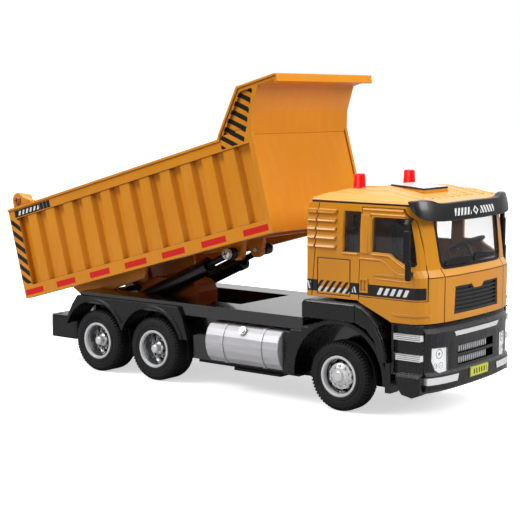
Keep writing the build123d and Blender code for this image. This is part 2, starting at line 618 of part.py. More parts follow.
def door():
    panel = CAB_WALL & from_side(inset(DOOR, 0.22), 26.95)
    panel -= from_side(DOOR_WINDOW, 22)
    # window surround, then the ledge below it
    surround = prism_y(inset(DOOR_WINDOW, -0.9), -CAB_HW - 0.3, -CAB_HW + 0.7)
    surround -= from_side(DOOR_WINDOW, 20)
    surround &= box(129.3, 149.3, -FAR_Y, -20, 50, 72.4)
    panel += surround & PROUD_WALL
    panel += prism_y([(134.6, 50.0), (149.2, 50.0), (149.2, 50.7), (135.4, 50.7)],
                     -CAB_HW - 0.3, -CAB_HW + 0.6)
    handle = box(129.35, 132.7, -CAB_HW - 0.35, -CAB_HW + 0.4, 43.9, 48.7)
    handle -= joined(box(x0, x1, -FAR_Y, -CAB_HW + 0.2, 44.5, 48.1)
                     for x0, x1 in ((129.85, 130.7), (131.2, 132.1)))
    panel += handle
    # raised panel behind the window
    panel += prism_y([(129.45, 57.6), (133.4, 57.6), (133.4, 70.6), (129.6, 70.6)],
                     -CAB_HW - 0.3, -CAB_HW + 0.9) & PROUD_WALL
    # round hinge knuckle and the stud below it
    knuckle = cyl_z(*DOOR_AXIS, 1.15, 42.55, 53.6) & cab_solid(0.05)
    panel += knuckle & box(140, 160, -FAR_Y, -20, 42, 54)
    panel += cyl_z(*DOOR_AXIS, 0.5, 38.6, 43.0)
    # trim whatever stands ahead of the door outline
    ahead = from_side([(150.0, 50.8), (158, 50.8), (158, 75), (148.4, 75)], 20)
    panel -= ahead - from_side(DOOR, 20) - cyl_z(*DOOR_AXIS, 0.41, 50, 57)
    # top front corner eased so it clears the pillar as it opens
    return panel - from_side([(145.75, 73.3), (146.85, 70.95), (148.2, 69.85), (149.1, 69.3),
                              (150.6, 69.3), (150.6, 73.3)], 22)


def quarter_window():
    return cab_layer(0.75, 1.45) & box(122.64, 128.4, -FAR_Y, -22, 57.34, 71.26)


def grille():
    """Grille with six cross slots."""
    panel = cab_layer(0.35, 1.4) & from_front(inset(GRILLE, GLASS_GAP))
    levels = [38.0 + 1.38 * k for k in range(6)]
    slots = joined(mid_box(150, FAR_X, 13.9, z, z + 0.85) for z in levels)
    return panel - (cab_layer(0.3, 0.95) & (slots & from_front(inset(GRILLE, 0.7))))


def wipers():
    """Wipers along the foot of the windscreen."""
    pair = from_front([(-18.4, 53.9), (-17.9, 53.5), (-1.6, 53.9), (-1.4, 54.9), (-2.0, 55.6),
                       (-9.6, 55.9), (-17.0, 55.1)])
    pair += from_front([(0.2, 54.0), (14.8, 54.6), (14.6, 55.4), (4.2, 56.6), (1.6, 56.2),
                        (-0.4, 54.6)])
    return pair & (cab_solid(-0.5) - cab_solid(0.45))


def beacons():
    profile = [(0, 0), (2.4, 0), (2.4, 0.5), (2.25, 0.7), (2.0, 5.0), (1.7, 5.4), (0, 5.5)]
    return joined(turned_z(profile, 119.1, y, 77.9) for y in (-16.5, 16.5)) - cab_solid(0.0)


def roof_button():
    button = prism_y([(126.6, 79.45), (133.0, 79.1), (140.45, 78.4), (140.45, 76.0),
                      (126.6, 77.9)], -8.6, 8.6)
    button = soft(button, button.edges().filter_by(Axis.Z), 1.0)
    return button + cyl_z(BUTTON_X, 0, 1.6, 74.2, 78)


def button_spring():
    coil_r = 2.4
    place = Pos(BUTTON_X, 0, 72.45)
    wire = place * (Rot(90, 0, 0) * Pos(coil_r, 0, 0) * Circle(0.22))
    return sweep(wire, path=place * Helix(pitch=1.2, height=4.2, radius=coil_r))


def sun_visor():
    """Curved visor over the windscreen with a cap along its top."""
    # outer edge from the right end to the middle, (x, y)
    bottom = [(150.2, -31.9), (152.0, -30.6), (153.4, -28.0), (154.5, -24.5), (155.4, -19.0),
              (156.1, -10.0), (156.4, 0.0)]
    top = [(147.6, -31.3), (149.4, -30.0), (151.0, -27.4), (152.2, -24.0), (153.0, -18.6),
           (153.7, -9.8), (154.0, 0.0)]

    def band_face(row, z):
        outer = row + [(x, -y) for x, y in reversed(row[:-1])]
        inner = [(x - 1.0, y + (0.35 if y < 0 else (-0.35 if y > 0 else 0))) for x, y in outer]
        return face_of([(x, y, z) for x, y in outer + inner[::-1]])

    visor = loft([band_face(bottom, 68.7), band_face(top, 75.6)], ruled=True)
    visor &= from_front([(-40, 71.2), (-31.0, 70.6), (-26.0, 68.9), (-20, 68.6), (20, 68.6),
                         (26.0, 68.9), (31.0, 70.6), (40, 71.2), (40, 76), (-40, 76)], 140)
    cab = cab_solid(-0.02)
    visor += prism_y([(148.2, 74.0), (154.0, 74.0), (153.6, 75.55), (148.2, 75.9)],
                     -29.0, 29.0) - cab
    visor -= cab
    # the wings stop short of the sweep of the door's top corner
    visor -= (both(box(140, 149.25, -40.8, -29.2, 60, 80))
              + both(box(140, 150.75, -40.8, -29.2, 60, 71.25)))
    return largest(visor)


def door_mirror():
    housing = box(147.7, 150.1, -34.0, -32.3, 55.4, 66.3)
    housing = soft(housing, housing.edges(), 0.6)
    arm = prism_x([(-33.9, 65.4), (-33.7, 68.3), (-32.9, 69.7), (-31.9, 69.95), (-30.4, 69.95),
                   (-30.4, 68.8), (-31.9, 68.7), (-32.5, 67.6), (-32.6, 65.4)], 148.1, 149.5)
    lower = box(148.5, 150.5, -33.9, -32.3, 49.5, 56.4)
    lower = soft(lower, lower.edges(), 0.6)
    lower += box(148.8, 150.1, -33.4, -30.6, 50.9, 52.2)
    return largest(housing + arm + lower - cab_solid(0.0))


def seat(y0, y1):
    body = box(120.0, 132.0, y0, y1, 42.7, 49.0)
    # backrest, headrest and the neck between them: outline, distance in from the seat's sides
    for outline, margin in (
            ([(118.2, 48.0), (121.8, 48.0), (119.4, 63.5), (116.6, 63.5)], 0),
            ([(117.0, 64.6), (119.0, 64.6), (118.6, 68.6), (116.8, 68.6)], 3.5),
            ([(117.4, 63.0), (118.4, 63.0), (118.2, 65.0), (117.2, 65.0)], 5)):
        body += prism_y(outline, y0 + margin, y1 - margin)
    return body


def cab_interior():
    """Floor, seats and dashboard in one moulding."""
    room = cab_solid(SKIN + 0.05)
    moulding = room & mid_box(106, 152.0, 35, 41.3, 42.7)
    moulding += mid_box(108.9, 150.0, 15.9, 35.02, 41.3)
    moulding -= both(HINGE_RELIEF)
    for y0, y1 in sides(7.5, 20.5):
        moulding += seat(y0, y1)
    dash = prism_y([(146.0, 42.7), (146.5, 50.0), (145.2, 53.0), (147.0, 54.6), (151.5, 53.2),
                    (158, 52.6), (158, 42.7)], -27, 27) & room
    dash -= both(cyl_z(*DOOR_AXIS, 2.6, 41, 60))
    dash &= mid_box(140, 160, 26.4, 40, 60)
    return moulding + dash


def steering_wheel(interior):
    wheel = Torus(6.2, 0.55) + Cylinder(1.3, 1.0)
    for angle in (90, 210, 330):
        wheel += Rot(0, 0, angle) * Pos(3.2, 0, 0) * Box(6.2, 0.9, 0.7)
    wheel += Pos(0, 0, -2.6) * Cylinder(0.8, 5.0)
    return largest(Pos(146.0, 12.4, 58.0) * Rot(0, -26, 0) * wheel - interior)


save("cab_shell", cab_shell())
save_pair("door", door())
save_pair("door_glass", cab_layer(0.75, 1.45) & from_side(inset(DOOR_WINDOW, GLASS_GAP), 22))
save("windscreen", cab_layer(0.5, 1.3) & rounded_screen(inset(WINDSCREEN, GLASS_GAP)))
save("quarter_windows", both(quarter_window()))
save("grille", grille())
save("wipers", wipers())
save("beacons", beacons())
save("roof_button", roof_button())
save("button_spring", button_spring())
save("sun_visor", sun_visor())
save_pair("mirror", door_mirror())
interior = cab_interior()
save("cab_interior", interior)
save("steering_wheel", steering_wheel(interior))

# =====================================================================
# Front bumper
# =====================================================================
BUMPER_HW = 28.45
BUMPER_BACK = 150.45
# (z, forward shift of the nose)
BUMPER_LEVELS = ((11.0, -1.8), (12.4, 0.6), (17.4, 0.8), (18.2, -0.2), (28.4, -0.3),
                 (31.6, 0.3), (33.0, -0.9), (34.6, -1.2))
# front view outlines, (y, z)
LENS = [(-25.8, 26.5), (-26.0, 22.2), (-24.6, 19.0), (-22.8, 17.9), (-18.2, 18.1),
        (-18.4, 26.2)]
BAR = [(-15.6, 31.3), (-14.2, 29.5), (14.2, 29.5), (15.6, 31.3)]
STRIP_RECESS = [(-30, 14.2), (-13.8, 14.2), (-13.2, 16.7), (-30, 16.7)]
STRIP = [(-28.4, 14.25), (-13.85, 14.25), (-13.3, 16.65), (-28.4, 16.65)]


@cache
def bumper_solid(depth):
    """Solid bumper, depth below its front; inner ones run past the top and bottom."""
    levels = list(BUMPER_LEVELS)
    if depth > 0:
        levels[0] = (8.0, levels[0][1])
        levels[-1] = (36.0, levels[-1][1])
    body = stack(levels, depth, BUMPER_HW, 140.0)
    return body & mid_box(BUMPER_BACK, 170, 40, 5, 36)


def bumper_layer(near, deep):
    return bumper_solid(near) - bumper_solid(deep)


def front_bumper():
    outer = bumper_solid(0.0)
    bumper = bumper_layer(0.0, 2.2)
    # bottom and top flanges
    bumper += ((outer & mid_box(BUMPER_BACK, 170, 40, 11.0, 12.6))
               + (outer & mid_box(BUMPER_BACK, 170, 40, 33.0, 34.6)))
    # pockets for the lenses, and two cross slots
    pocket = bumper_layer(0.0, 1.5)
    bumper -= pocket & both(from_front(LENS))
    bumper -= pocket & (mid_box(150, FAR_X, 12.4, 23.3, 25.9)
                        + mid_box(150, FAR_X, 12.4, 19.4, 22.0))
    # recesses for the bar and the strips
    recess = bumper_layer(0.0, 0.5)
    bumper -= recess & from_front(BAR)
    bumper -= recess & both(from_front(STRIP_RECESS))
    # engraved lines
    lines = mid_box(150, FAR_X, 27.5, 33.1, 33.4)
    lines += both(box(150, FAR_X, -17.2, -16.9, 12, 28))
    return bumper - (bumper_layer(0.0, 0.4) & lines)


def bumper_bar():
    bar = bumper_layer(-0.35, 0.45) & from_front(BAR)
    return bar & mid_box(150, FAR_X, 15.5, 29.55, 31.25)


save("front_bumper", front_bumper())
save("bumper_bar", bumper_bar())
save("bumper_strips", both(bumper_layer(-0.2, 0.45) & from_front(STRIP, 150.5)))
save("headlamp_lenses", both(bumper_layer(-0.15, 1.45) & from_front(inset(LENS, GLASS_GAP))))
save("licence_plate", bumper_layer(-0.45, -0.01) & mid_box(150, FAR_X, 6.3, 14.2, 17.6))

# =====================================================================
# Tipping bed, drawn along its own floor (x forward, z up from the underside of the rails)
# =====================================================================
BED_L = 133.0                # length along the floor
BED_HW = 30.45               # half width over the rails
LIP_HW = BED_HW + 0.45       # half width over the top lip
WALL_OUT = 28.0              # side wall, |y| of its outer face between the ribs
WALL_IN = 26.8               # side wall, |y| of its inner face
FLOOR0, FLOOR1 = 6.1, 7.3
RAIL_LOW, RAIL_HIGH = 5.0, 33.3  # top of the lower rail, underside of the upper rail
RIM = 37.2                   # top of the upper rail
HINGE_BED = (21.3, -4.0)     # bed hinge, bed coordinates
GATE_PIVOT = (6.8, 40.4)     # tailgate pivot, bed coordinates
GATE_SCREW_R = 1.0
RAM_SCREW_R = 1.1
# x0, x1, outer |y|, z0, z1 of the lengths that make up each side, inside face at WALL_IN
SIDE_PARTS = (
    (0, BED_L, WALL_OUT, FLOOR0, 37.8),              # wall
    (0, BED_L, BED_HW, 0, RAIL_LOW),                 # lower rail
    (0, BED_L, BED_HW, RAIL_HIGH, RIM),              # upper rail
    (0, BED_L, WALL_OUT, 4.5, FLOOR0 + 0.1),         # web from the lower rail to the floor
    (0, 118.2, LIP_HW, 37.0, 37.9),                  # top lip
    (0, 5.5, BED_HW, RAIL_LOW, RAIL_HIGH),           # rear post
    (131.4, BED_L, BED_HW, RAIL_LOW, RAIL_HIGH),     # front post
)


def bed_body():
    """Floor, ribbed sides and front wall."""
    body = mid_box(0, BED_L, WALL_OUT, FLOOR0, FLOOR1)
    for x0, x1, outer, z0, z1 in SIDE_PARTS:
        body += both(box(x0, x1, -outer, -WALL_IN, z0, z1))
    for k in range(11):                  # ribs with sloping flanks
        x = 10.3 + 10.8 * k
        body += both(prism_z([(x - 0.3, -WALL_OUT + 0.2), (x + 0.3, -30.1), (x + 5.4, -30.1),
                              (x + 7.0, -WALL_OUT + 0.2)], RAIL_LOW, RAIL_HIGH))
    body += mid_box(BED_L - 1.6, BED_L, BED_HW, 0.0, RIM)
    return body + both(box(BED_L, BED_L + 0.5, -BED_HW, -BED_HW + 1.6, 0, 37.0))


def add_cab_guard(tub):
    """Adds the side cheeks, the leaning front plate and the top plate."""
    cheek = prism_y([(116.6, RIM), (133.2, RIM), (135.2, 43.8), (140.4, 52.0), (149.3, 52.2),
                     (149.3, 53.9), (131.3, 54.0), (118.2, 39.0)], -BED_HW, -WALL_IN)
    cheek -= prism_y([(120.4, 38.6), (132.0, 38.6), (133.6, 44.0), (137.8, 50.8),
                      (137.4, 51.9), (132.4, 51.9)], -BED_HW - 1, -BED_HW + 0.9)
    tub += both(cheek)
    # lip along the upper edge of the cheek
    tub += both(prism_y([(116.2, 37.0), (118.0, 37.9), (118.6, 39.4), (131.3, 54.0),
                         (149.3, 53.9), (149.3, 53.2), (131.8, 53.2), (119.2, 38.8),
                         (118.6, 37.0)], -LIP_HW, -BED_HW + 0.2))
    tub += prism_y([(131.4, 36.0), (133.2, 36.0), (133.4, 37.2), (135.4, 43.8), (141.2, 52.9),
                    (139.3, 52.9), (133.5, 43.8), (131.5, 37.4)], -BED_HW, BED_HW)
    tub += prism_y([(131.3, 52.2), (149.3, 52.0), (149.3, 53.9), (131.3, 54.0)],
                   -BED_HW, BED_HW)
    return tub + mid_box(148.2, 149.3, BED_HW, 51.0, 53.9)    # turned-down front edge


def add_pivots(tub):
    """Adds the tailgate ears, the underframe rails with hinge ears, and the ram ears."""
    tub += both(prism_y([(3.6, 37.5)] + arc(*GATE_PIVOT, 3.1, 175, 20, 10)
                        + [(12.0, 40.0), (13.8, 39.0), (14.2, 37.5)], -30.2, -27.6))
    tub -= both(cyl_y(*GATE_PIVOT, 1.2, -31, -26))
    rail = prism_y([(14.5, 6.2), (56.0, 6.2), (56.0, 0.5), (54.0, -3.0), (27.0, -4.6)]
                   + arc(*HINGE_BED, 3.0, -20, -150, 8) + [(15.8, -2.0), (13.0, 0.8)],
                   -15.3, -12.55)
    rail -= box(30, 60, -14.0, -12.0, -6, 6.1)
    tub += both(rail)
    tub -= both(cyl_y(*HINGE_BED, HINGE_PIN_R + RUN_GAP, -16, -12))
    for y0, y1 in sides(5.0, 7.0):
        tub += prism_y([(91.5, 6.2), (102.5, 6.2), (100.4, 0.0)]
                       + arc(*RAM_B_BED, 3.0, 0, -180, 10) + [(92.6, 0.0)], y0, y1)
    return tub - cyl_y(*RAM_B_BED, RAM_SCREW_R, -8, 8)


def bed_tub():
    tub = add_pivots(add_cab_guard(bed_body()))
    # cross ribs under the floor, the rear one notched to pass over the ram cradle
    tub += (mid_box(68, 69.2, WALL_IN, 2.0, FLOOR0 + 0.1)
            + mid_box(110, 111.2, WALL_IN, 1.0, FLOOR0 + 0.1))
    return tub - mid_box(67.5, 69.7, 6.6, 1.5, 5.6)


def bed_screws(profile, cross, pivot):
    """Pair of screws; cross is the length, depth and width of the head recess."""
    length, depth, width = cross
    head_y = profile[0][1]
    screw = turned_y(profile, 0, 0)
    screw -= (Pos(0, head_y, 0) * Box(length, depth, width)
              + Pos(0, head_y, 0) * Box(width, depth, length))
    return to_world(both(Pos(pivot[0], 0, pivot[1]) * screw))


def tailgate():
    """Ribbed gate with two arms up to the pivots."""
    half_width = WALL_IN - 0.25
    foot = FLOOR1 + 0.25
    gate = mid_box(0.3, 1.9, half_width, foot, 36.9)
    for k in range(5):
        y = -21.0 + 10.5 * k
        gate += prism_z([(0.4, y - 3.0), (-0.9, y - 2.2), (-0.9, y + 2.2), (0.4, y + 3.0)],
                        FLOOR1 + 3.0, 33.0)
    gate += (mid_box(-0.9, 0.4, half_width, 33.0, 36.9)
             + mid_box(-0.9, 0.4, half_width, foot, FLOOR1 + 3.0))
    gate += both(prism_y([(0.3, 33.0), (3.4, 36.0)] + arc(*GATE_PIVOT, 2.6, -70, 140, 10)
                         + [(0.3, 37.4)], -half_width, -half_width + 2.2))
    return gate - both(cyl_y(*GATE_PIVOT, GATE_SCREW_R + RUN_GAP, -28, -23))


save("bed_tub", to_world(bed_tub()))
save("ram_screws", bed_screws(
    [(0, -14.4), (1.4, -14.4), (2.1, -13.9), (2.2, -13.4), (2.2, -12.6), (RAM_SCREW_R, -12.6),
     (RAM_SCREW_R, -4.2), (0, -4.2)], (2.6, 0.9, 0.45), RAM_B_BED))
save("tailgate", to_world(tailgate()))
save("tailgate_screws", bed_screws(
    [(0, -30.9), (1.0, -30.9), (1.8, -30.5), (1.8, -30.2), (1.2, -30.2), (1.2, -27.0),
     (GATE_SCREW_R, -27.0), (GATE_SCREW_R, -24.3), (0, -24.3)], (2.2, 0.7, 0.4), GATE_PIVOT))

# =====================================================================
# Rams, drawn along X from their pivots
# =====================================================================
RAM_R = 3.2                  # tube radius
TUBE_L = 44.8


def place_ram(shape, x, z):
    return both(Pos(x, -RAM_Y, z) * Rot(0, -RAM_ANGLE, 0) * shape)


def ram_tubes():
    tube = cyl_x(0, 0, RAM_R, 0, TUBE_L) + cyl_y(0, 0, RAM_R, -RAM_R, RAM_R)
    tube += cyl_x(0, 0, RAM_R + 0.25, TUBE_L - 2.6, TUBE_L)
    tube -= cyl_x(0, 0, 2.15, 24.0, TUBE_L + 1)
    tube -= cyl_y(0, 0, RAM_PIN_R + RUN_GAP, -5, 5)
    return place_ram(tube, *RAM_A)


def ram_rods():
    rod = cyl_x(0, 0, 1.25, -24.5, 0) + cyl_y(0, 0, 2.3, -1.5, 1.5)
    rod -= cyl_y(0, 0, RAM_SCREW_R + RUN_GAP, -5, 5)
    # upper pivot in truck coordinates
    tilt = radians(BED_TILT)
    x, z = RAM_B_BED
    return place_ram(rod, BED_ORG[0] + x * cos(tilt) - z * sin(tilt),
                     BED_ORG[1] + x * sin(tilt) + z * cos(tilt))


save("ram_tubes", ram_tubes())
save("ram_rods", ram_rods())
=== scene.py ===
"""A toy tipper lorry: treaded tyres, mouldings, lamps and procedural materials over its CAD pieces.

Sizes are in mm in the axle frame: X forward from the rear axle, Y to the left, Z up from the
floor. point() turns them into the metres of the loaded frame. The bed frame has its X along the
tilted bed floor and its Z square to it.
"""
import math
from functools import cached_property

import bpy
import bmesh
from mathutils import Matrix, Vector

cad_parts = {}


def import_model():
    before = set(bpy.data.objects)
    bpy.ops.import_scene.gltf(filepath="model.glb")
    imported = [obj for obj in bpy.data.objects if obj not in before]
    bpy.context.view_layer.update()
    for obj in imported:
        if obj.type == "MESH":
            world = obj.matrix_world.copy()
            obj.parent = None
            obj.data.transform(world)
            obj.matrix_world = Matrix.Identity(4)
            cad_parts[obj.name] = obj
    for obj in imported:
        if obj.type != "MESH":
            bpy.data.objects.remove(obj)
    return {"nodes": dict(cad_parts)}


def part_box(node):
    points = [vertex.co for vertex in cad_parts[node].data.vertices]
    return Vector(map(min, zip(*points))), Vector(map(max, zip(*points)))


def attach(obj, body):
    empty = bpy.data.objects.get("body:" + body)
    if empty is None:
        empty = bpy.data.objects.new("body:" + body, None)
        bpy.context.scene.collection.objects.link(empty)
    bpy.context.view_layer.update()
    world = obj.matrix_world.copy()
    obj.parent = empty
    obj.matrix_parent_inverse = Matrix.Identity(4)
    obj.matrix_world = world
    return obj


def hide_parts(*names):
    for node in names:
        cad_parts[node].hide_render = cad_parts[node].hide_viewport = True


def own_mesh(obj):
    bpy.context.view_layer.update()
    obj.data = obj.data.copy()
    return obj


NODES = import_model()["nodes"]
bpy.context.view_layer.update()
scene = bpy.context.scene

# ---------------------------------------------------------------- driving dimensions
axle_low, axle_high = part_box("rear_axle")
AXLE_SHIFT = -(axle_low.x + axle_high.x) / 2 * 1000.0   # the rear axle is at x = -AXLE_SHIFT

BED_TILT = math.radians(15.34)
BED_COS, BED_SIN = math.cos(BED_TILT), math.sin(BED_TILT)
BED_X, BED_Z = -37.11, 26.71        # origin of the bed frame

WHEEL_RADIUS = 12.5                 # also the height of the axles
FRONT_AXLE_X, MIDDLE_AXLE_X, REAR_AXLE_X = 117.5, 30.4, 0.0
TYRE_FACE_Y = 26.7                  # outer face of every tyre
CAB_HALF_WIDTH = 31.24
STRIPE_BAND_Z = (42.9, 46.9)        # painted band along the cab side
LAMP_SHELL = 0.3                    # inset of lamps and intake bars before their own depth


def point(x, y, z):
    """Axle-frame mm to metres."""
    return Vector(((x - AXLE_SHIFT) / 1000.0, y / 1000.0, z / 1000.0))


# ---------------------------------------------------------------- colours
def srgb(*channels):
    """Linear RGBA from 0..255 sRGB channels."""
    def linear(channel):
        channel /= 255.0
        return channel / 12.92 if channel <= 0.04045 else ((channel + 0.055) / 1.055) ** 2.4
    return tuple(linear(channel) for channel in channels) + (1.0,)


def scaled(colour, gain, lift=0.0, red_gain=None):
    """The colour with each channel multiplied and lifted, held at 1."""
    gains = (red_gain or gain, gain, gain)
    return tuple(min(1.0, c * factor + lift) for c, factor in zip(colour, gains)) + (1.0,)


ORANGE = srgb(224, 148, 26)
ORANGE_DEEP = srgb(200, 122, 20)
ORANGE_BED = srgb(232, 147, 18)
BLACK = srgb(17, 16, 17)


# ---------------------------------------------------------------- node graphs
class Value:
    """A node output. Operators add Math nodes; on masks & is both, | is either, ~ is not.

    Each use of an operator adds a new node, so the grouping of terms is part of the graph.
    """

    def __init__(self, graph, socket):
        self.graph = graph
        self.socket = socket

    def math(self, operation, other=0.0, clamp=False):
        return self.graph.math(operation, self, other, clamp)

    def __add__(self, other):
        return self.math("ADD", other)

    def __sub__(self, other):
        return self.math("SUBTRACT", other)

    def __rsub__(self, other):
        return self.graph.math("SUBTRACT", other, self)

    def __mul__(self, other):
        return self.math("MULTIPLY", other)

    def __truediv__(self, other):
        return self.math("DIVIDE", other)

    def __gt__(self, other):
        return self.math("GREATER_THAN", other)

    def __lt__(self, other):
        return self.math("LESS_THAN", other)

    def __abs__(self):
        return self.math("ABSOLUTE")

    def __or__(self, other):
        return self.math("MAXIMUM", other)

    __and__ = __mul__

    def __invert__(self):
        return 1.0 - self

    def within(self, low, high):
        """1 between low and high."""
        return (self > low) & (self < high)

    def remap(self, low, high, to=(0.0, 1.0)):
        """Maps low..high onto the range `to`, held at its ends."""
        node = self.graph.node("ShaderNodeMapRange")
        for socket, value in zip(node.inputs, (self, low, high, *to)):
            self.graph.put(socket, value)
        return Value(self.graph, node.outputs[0])


class Graph:
    """A node tree being filled."""

    def __init__(self, tree):
        self.tree = tree
        tree.nodes.clear()

    def node(self, kind, **settings):
        node = self.tree.nodes.new(kind)
        for key, value in settings.items():
            setattr(node, key, value)
        return node

    def link(self, source, socket):
        self.tree.links.new(source, socket)

    def put(self, socket, value):
        """Links a Value, or sets a plain number or colour."""
        if isinstance(value, Value):
            self.link(value.socket, socket)
        else:
            socket.default_value = value

    def output(self, kind, name):
        """The named output of a new node."""
        return Value(self, self.node(kind).outputs[name])

    def math(self, operation, first, second=0.0, clamp=False):
        node = self.node("ShaderNodeMath", operation=operation, use_clamp=clamp)
        self.put(node.inputs[0], first)
        self.put(node.inputs[1], second)
        return Value(self, node.outputs[0])

    def split(self, vector):
        node = self.node("ShaderNodeSeparateXYZ")
        self.put(node.inputs[0], vector)
        return [Value(self, socket) for socket in node.outputs]


class Surface(Graph):
    """A material around one Principled shader. Lengths are in mm."""

    INPUTS = {
        "colour": "Base Color", "metal": "Metallic", "rough": "Roughness",
        "coat": "Coat Weight", "coat_rough": "Coat Roughness", "spec": "Specular IOR Level",
        "transmission": "Transmission Weight", "ior": "IOR",
        "glow_colour": "Emission Color", "glow": "Emission Strength",
    }

    def __init__(self, name):
        self.material = bpy.data.materials.new(name)
        self.material.use_nodes = True
        super().__init__(self.material.node_tree)
        self.end = self.node("ShaderNodeOutputMaterial")
        self.principled = self.node("ShaderNodeBsdfPrincipled")
        self.link(self.principled.outputs[0], self.end.inputs[0])

    def set(self, **values):
        for key, value in values.items():
            self.put(self.principled.inputs[self.INPUTS[key]], value)

    @cached_property
    def coords(self):
        return self.output("ShaderNodeTexCoord", "Object")

    @cached_property
    def axes(self):
        return self.split(self.coords)

    @cached_property
    def x(self):
        return self.axes[0] * 1000.0 + AXLE_SHIFT

    @cached_property
    def y(self):
        return self.axes[1] * 1000.0

    @cached_property
    def z(self):
        return self.axes[2] * 1000.0

    @cached_property
    def from_bed(self):
        return self.x + -BED_X, self.z + -BED_Z

    @cached_property
    def bed_x(self):
        x, z = self.from_bed
        return x * BED_COS + z * BED_SIN

    @cached_property
    def bed_z(self):
        x, z = self.from_bed
        return z * BED_COS - x * BED_SIN

    def mix(self, under, over, amount):
        """`over` laid on `under` by amount 0..1."""
        node = self.node("ShaderNodeMix", data_type="RGBA")
        self.put(node.inputs[0], amount)
        self.put(node.inputs[6], under)
        self.put(node.inputs[7], over)
        return Value(self, node.outputs[2])

    def noise(self, scale, detail=3.0, rough=0.5, stretch=None):
        """Noise with `scale` features per mm; `stretch` scales it along each axis."""
        node = self.node("ShaderNodeTexNoise")
        node.inputs["Scale"].default_value = scale * 1000.0
        node.inputs["Detail"].default_value = detail
        node.inputs["Roughness"].default_value = rough
        vector = self.coords
        if stretch:
            mapping = self.node("ShaderNodeMapping")
            mapping.inputs["Scale"].default_value = stretch
            self.put(mapping.inputs[0], vector)
            vector = Value(self, mapping.outputs[0])
        self.put(node.inputs["Vector"], vector)
        return Value(self, node.outputs[0])

    def bump(self, height, depth, strength, normal=None):
        node = self.node("ShaderNodeBump")
        node.inputs["Strength"].default_value = strength
        node.inputs["Distance"].default_value = depth / 1000.0
        self.put(node.inputs["Height"], height)
        if normal is not None:
            self.put(node.inputs["Normal"], normal)
        return Value(self, node.outputs[0])

    def relief(self, height, depth, strength, bevel):
        """Bump over a normal rounded at the edges; edge() and upward() need it first."""
        node = self.node("ShaderNodeBevel", samples=4)
        node.inputs["Radius"].default_value = bevel / 1000.0
        self.rounded = Value(self, node.outputs[0])
        normal = self.bump(height, depth, strength, self.rounded)
        self.put(self.principled.inputs["Normal"], normal)

    def dot(self, first, second):
        node = self.node("ShaderNodeVectorMath", operation="DOT_PRODUCT")
        self.put(node.inputs[0], first)
        self.put(node.inputs[1], second)
        return Value(self, node.outputs["Value"])

    def edge(self):
        """Rises towards 1 along sharp edges."""
        facing = self.dot(self.rounded, self.output("ShaderNodeNewGeometry", "Normal"))
        gain = 2.2
        return (~facing).math("MULTIPLY", gain, clamp=True)

    def upward(self, low=0.25, high=0.8):
        """0..1 on faces that look up."""
        return self.split(self.rounded)[2].remap(low, high)

    def crevice(self, reach, samples=4):
        """1 in open places, 0 deep in a groove."""
        node = self.node("ShaderNodeAmbientOcclusion", samples=samples)
        node.inputs["Distance"].default_value = reach / 1000.0
        return Value(self, node.outputs["AO"])

    def stripes(self, first, second, pitch, duty, phase=0.0):
        """1 on bars of first + second; duty is the barred share of the pitch."""
        shifted = first + second + (1000.0 * pitch + phase)     # kept above zero
        return (shifted / pitch).math("FRACT") < duty

    def mix_shaders(self, amount, first, second):
        node = self.node("ShaderNodeMixShader")
        self.put(node.inputs[0], amount)
        self.link(first, node.inputs[1])
        self.link(second, node.inputs[2])
        return node.outputs[0]


# ---------------------------------------------------------------- enamels
def paint(mat, base, deep, peel=0.02, bevel=0.28, coat=0.4, rough=0.30, groove=0.8):
    """Enamel: slow colour drift, orange peel, thin paint with a painted highlight on edges, a
    painted highlight on faces that look up, painted shade in grooves and joint lines.
    """
    drift = mat.noise(scale=0.03, detail=2.0)
    fine = mat.noise(scale=0.9, detail=2.0, rough=0.6)
    colour = mat.mix(base, deep, drift.remap(0.3, 0.7, to=(0.0, 0.35)))
    height = fine * 0.6 + mat.noise(scale=0.22, detail=2.0) * 0.7
    mat.relief(height, depth=peel, strength=0.5, bevel=bevel)
    # lighter edges: thin paint there, together with a painted highlight on the rounded edge
    thin_paint_highlight_colour = scaled(base, gain=1.5, lift=0.03, red_gain=1.35)
    colour = mat.mix(colour, thin_paint_highlight_colour, mat.edge() * 0.45)
    open_air = mat.crevice(reach=groove)
    # painted highlight: faces that look up are mixed towards a pale orange
    colour = mat.mix(colour, srgb(255, 206, 138), mat.upward() * 0.34)
    # painted shade: grooves and creases, the joint lines among them, turn deep brown
    colour = mat.mix(colour, srgb(58, 26, 6), open_air.remap(0.25, 0.75, to=(0.8, 0.0)))
    mat.set(rough=fine.remap(0.2, 0.8, to=(rough - 0.04, rough + 0.08)),
            coat=coat, coat_rough=0.07, spec=0.32)
    return colour


def plain_enamel(name, base, deep, **finish):
    mat = Surface(name)
    mat.set(colour=paint(mat, base, deep, **finish))
    return mat.material


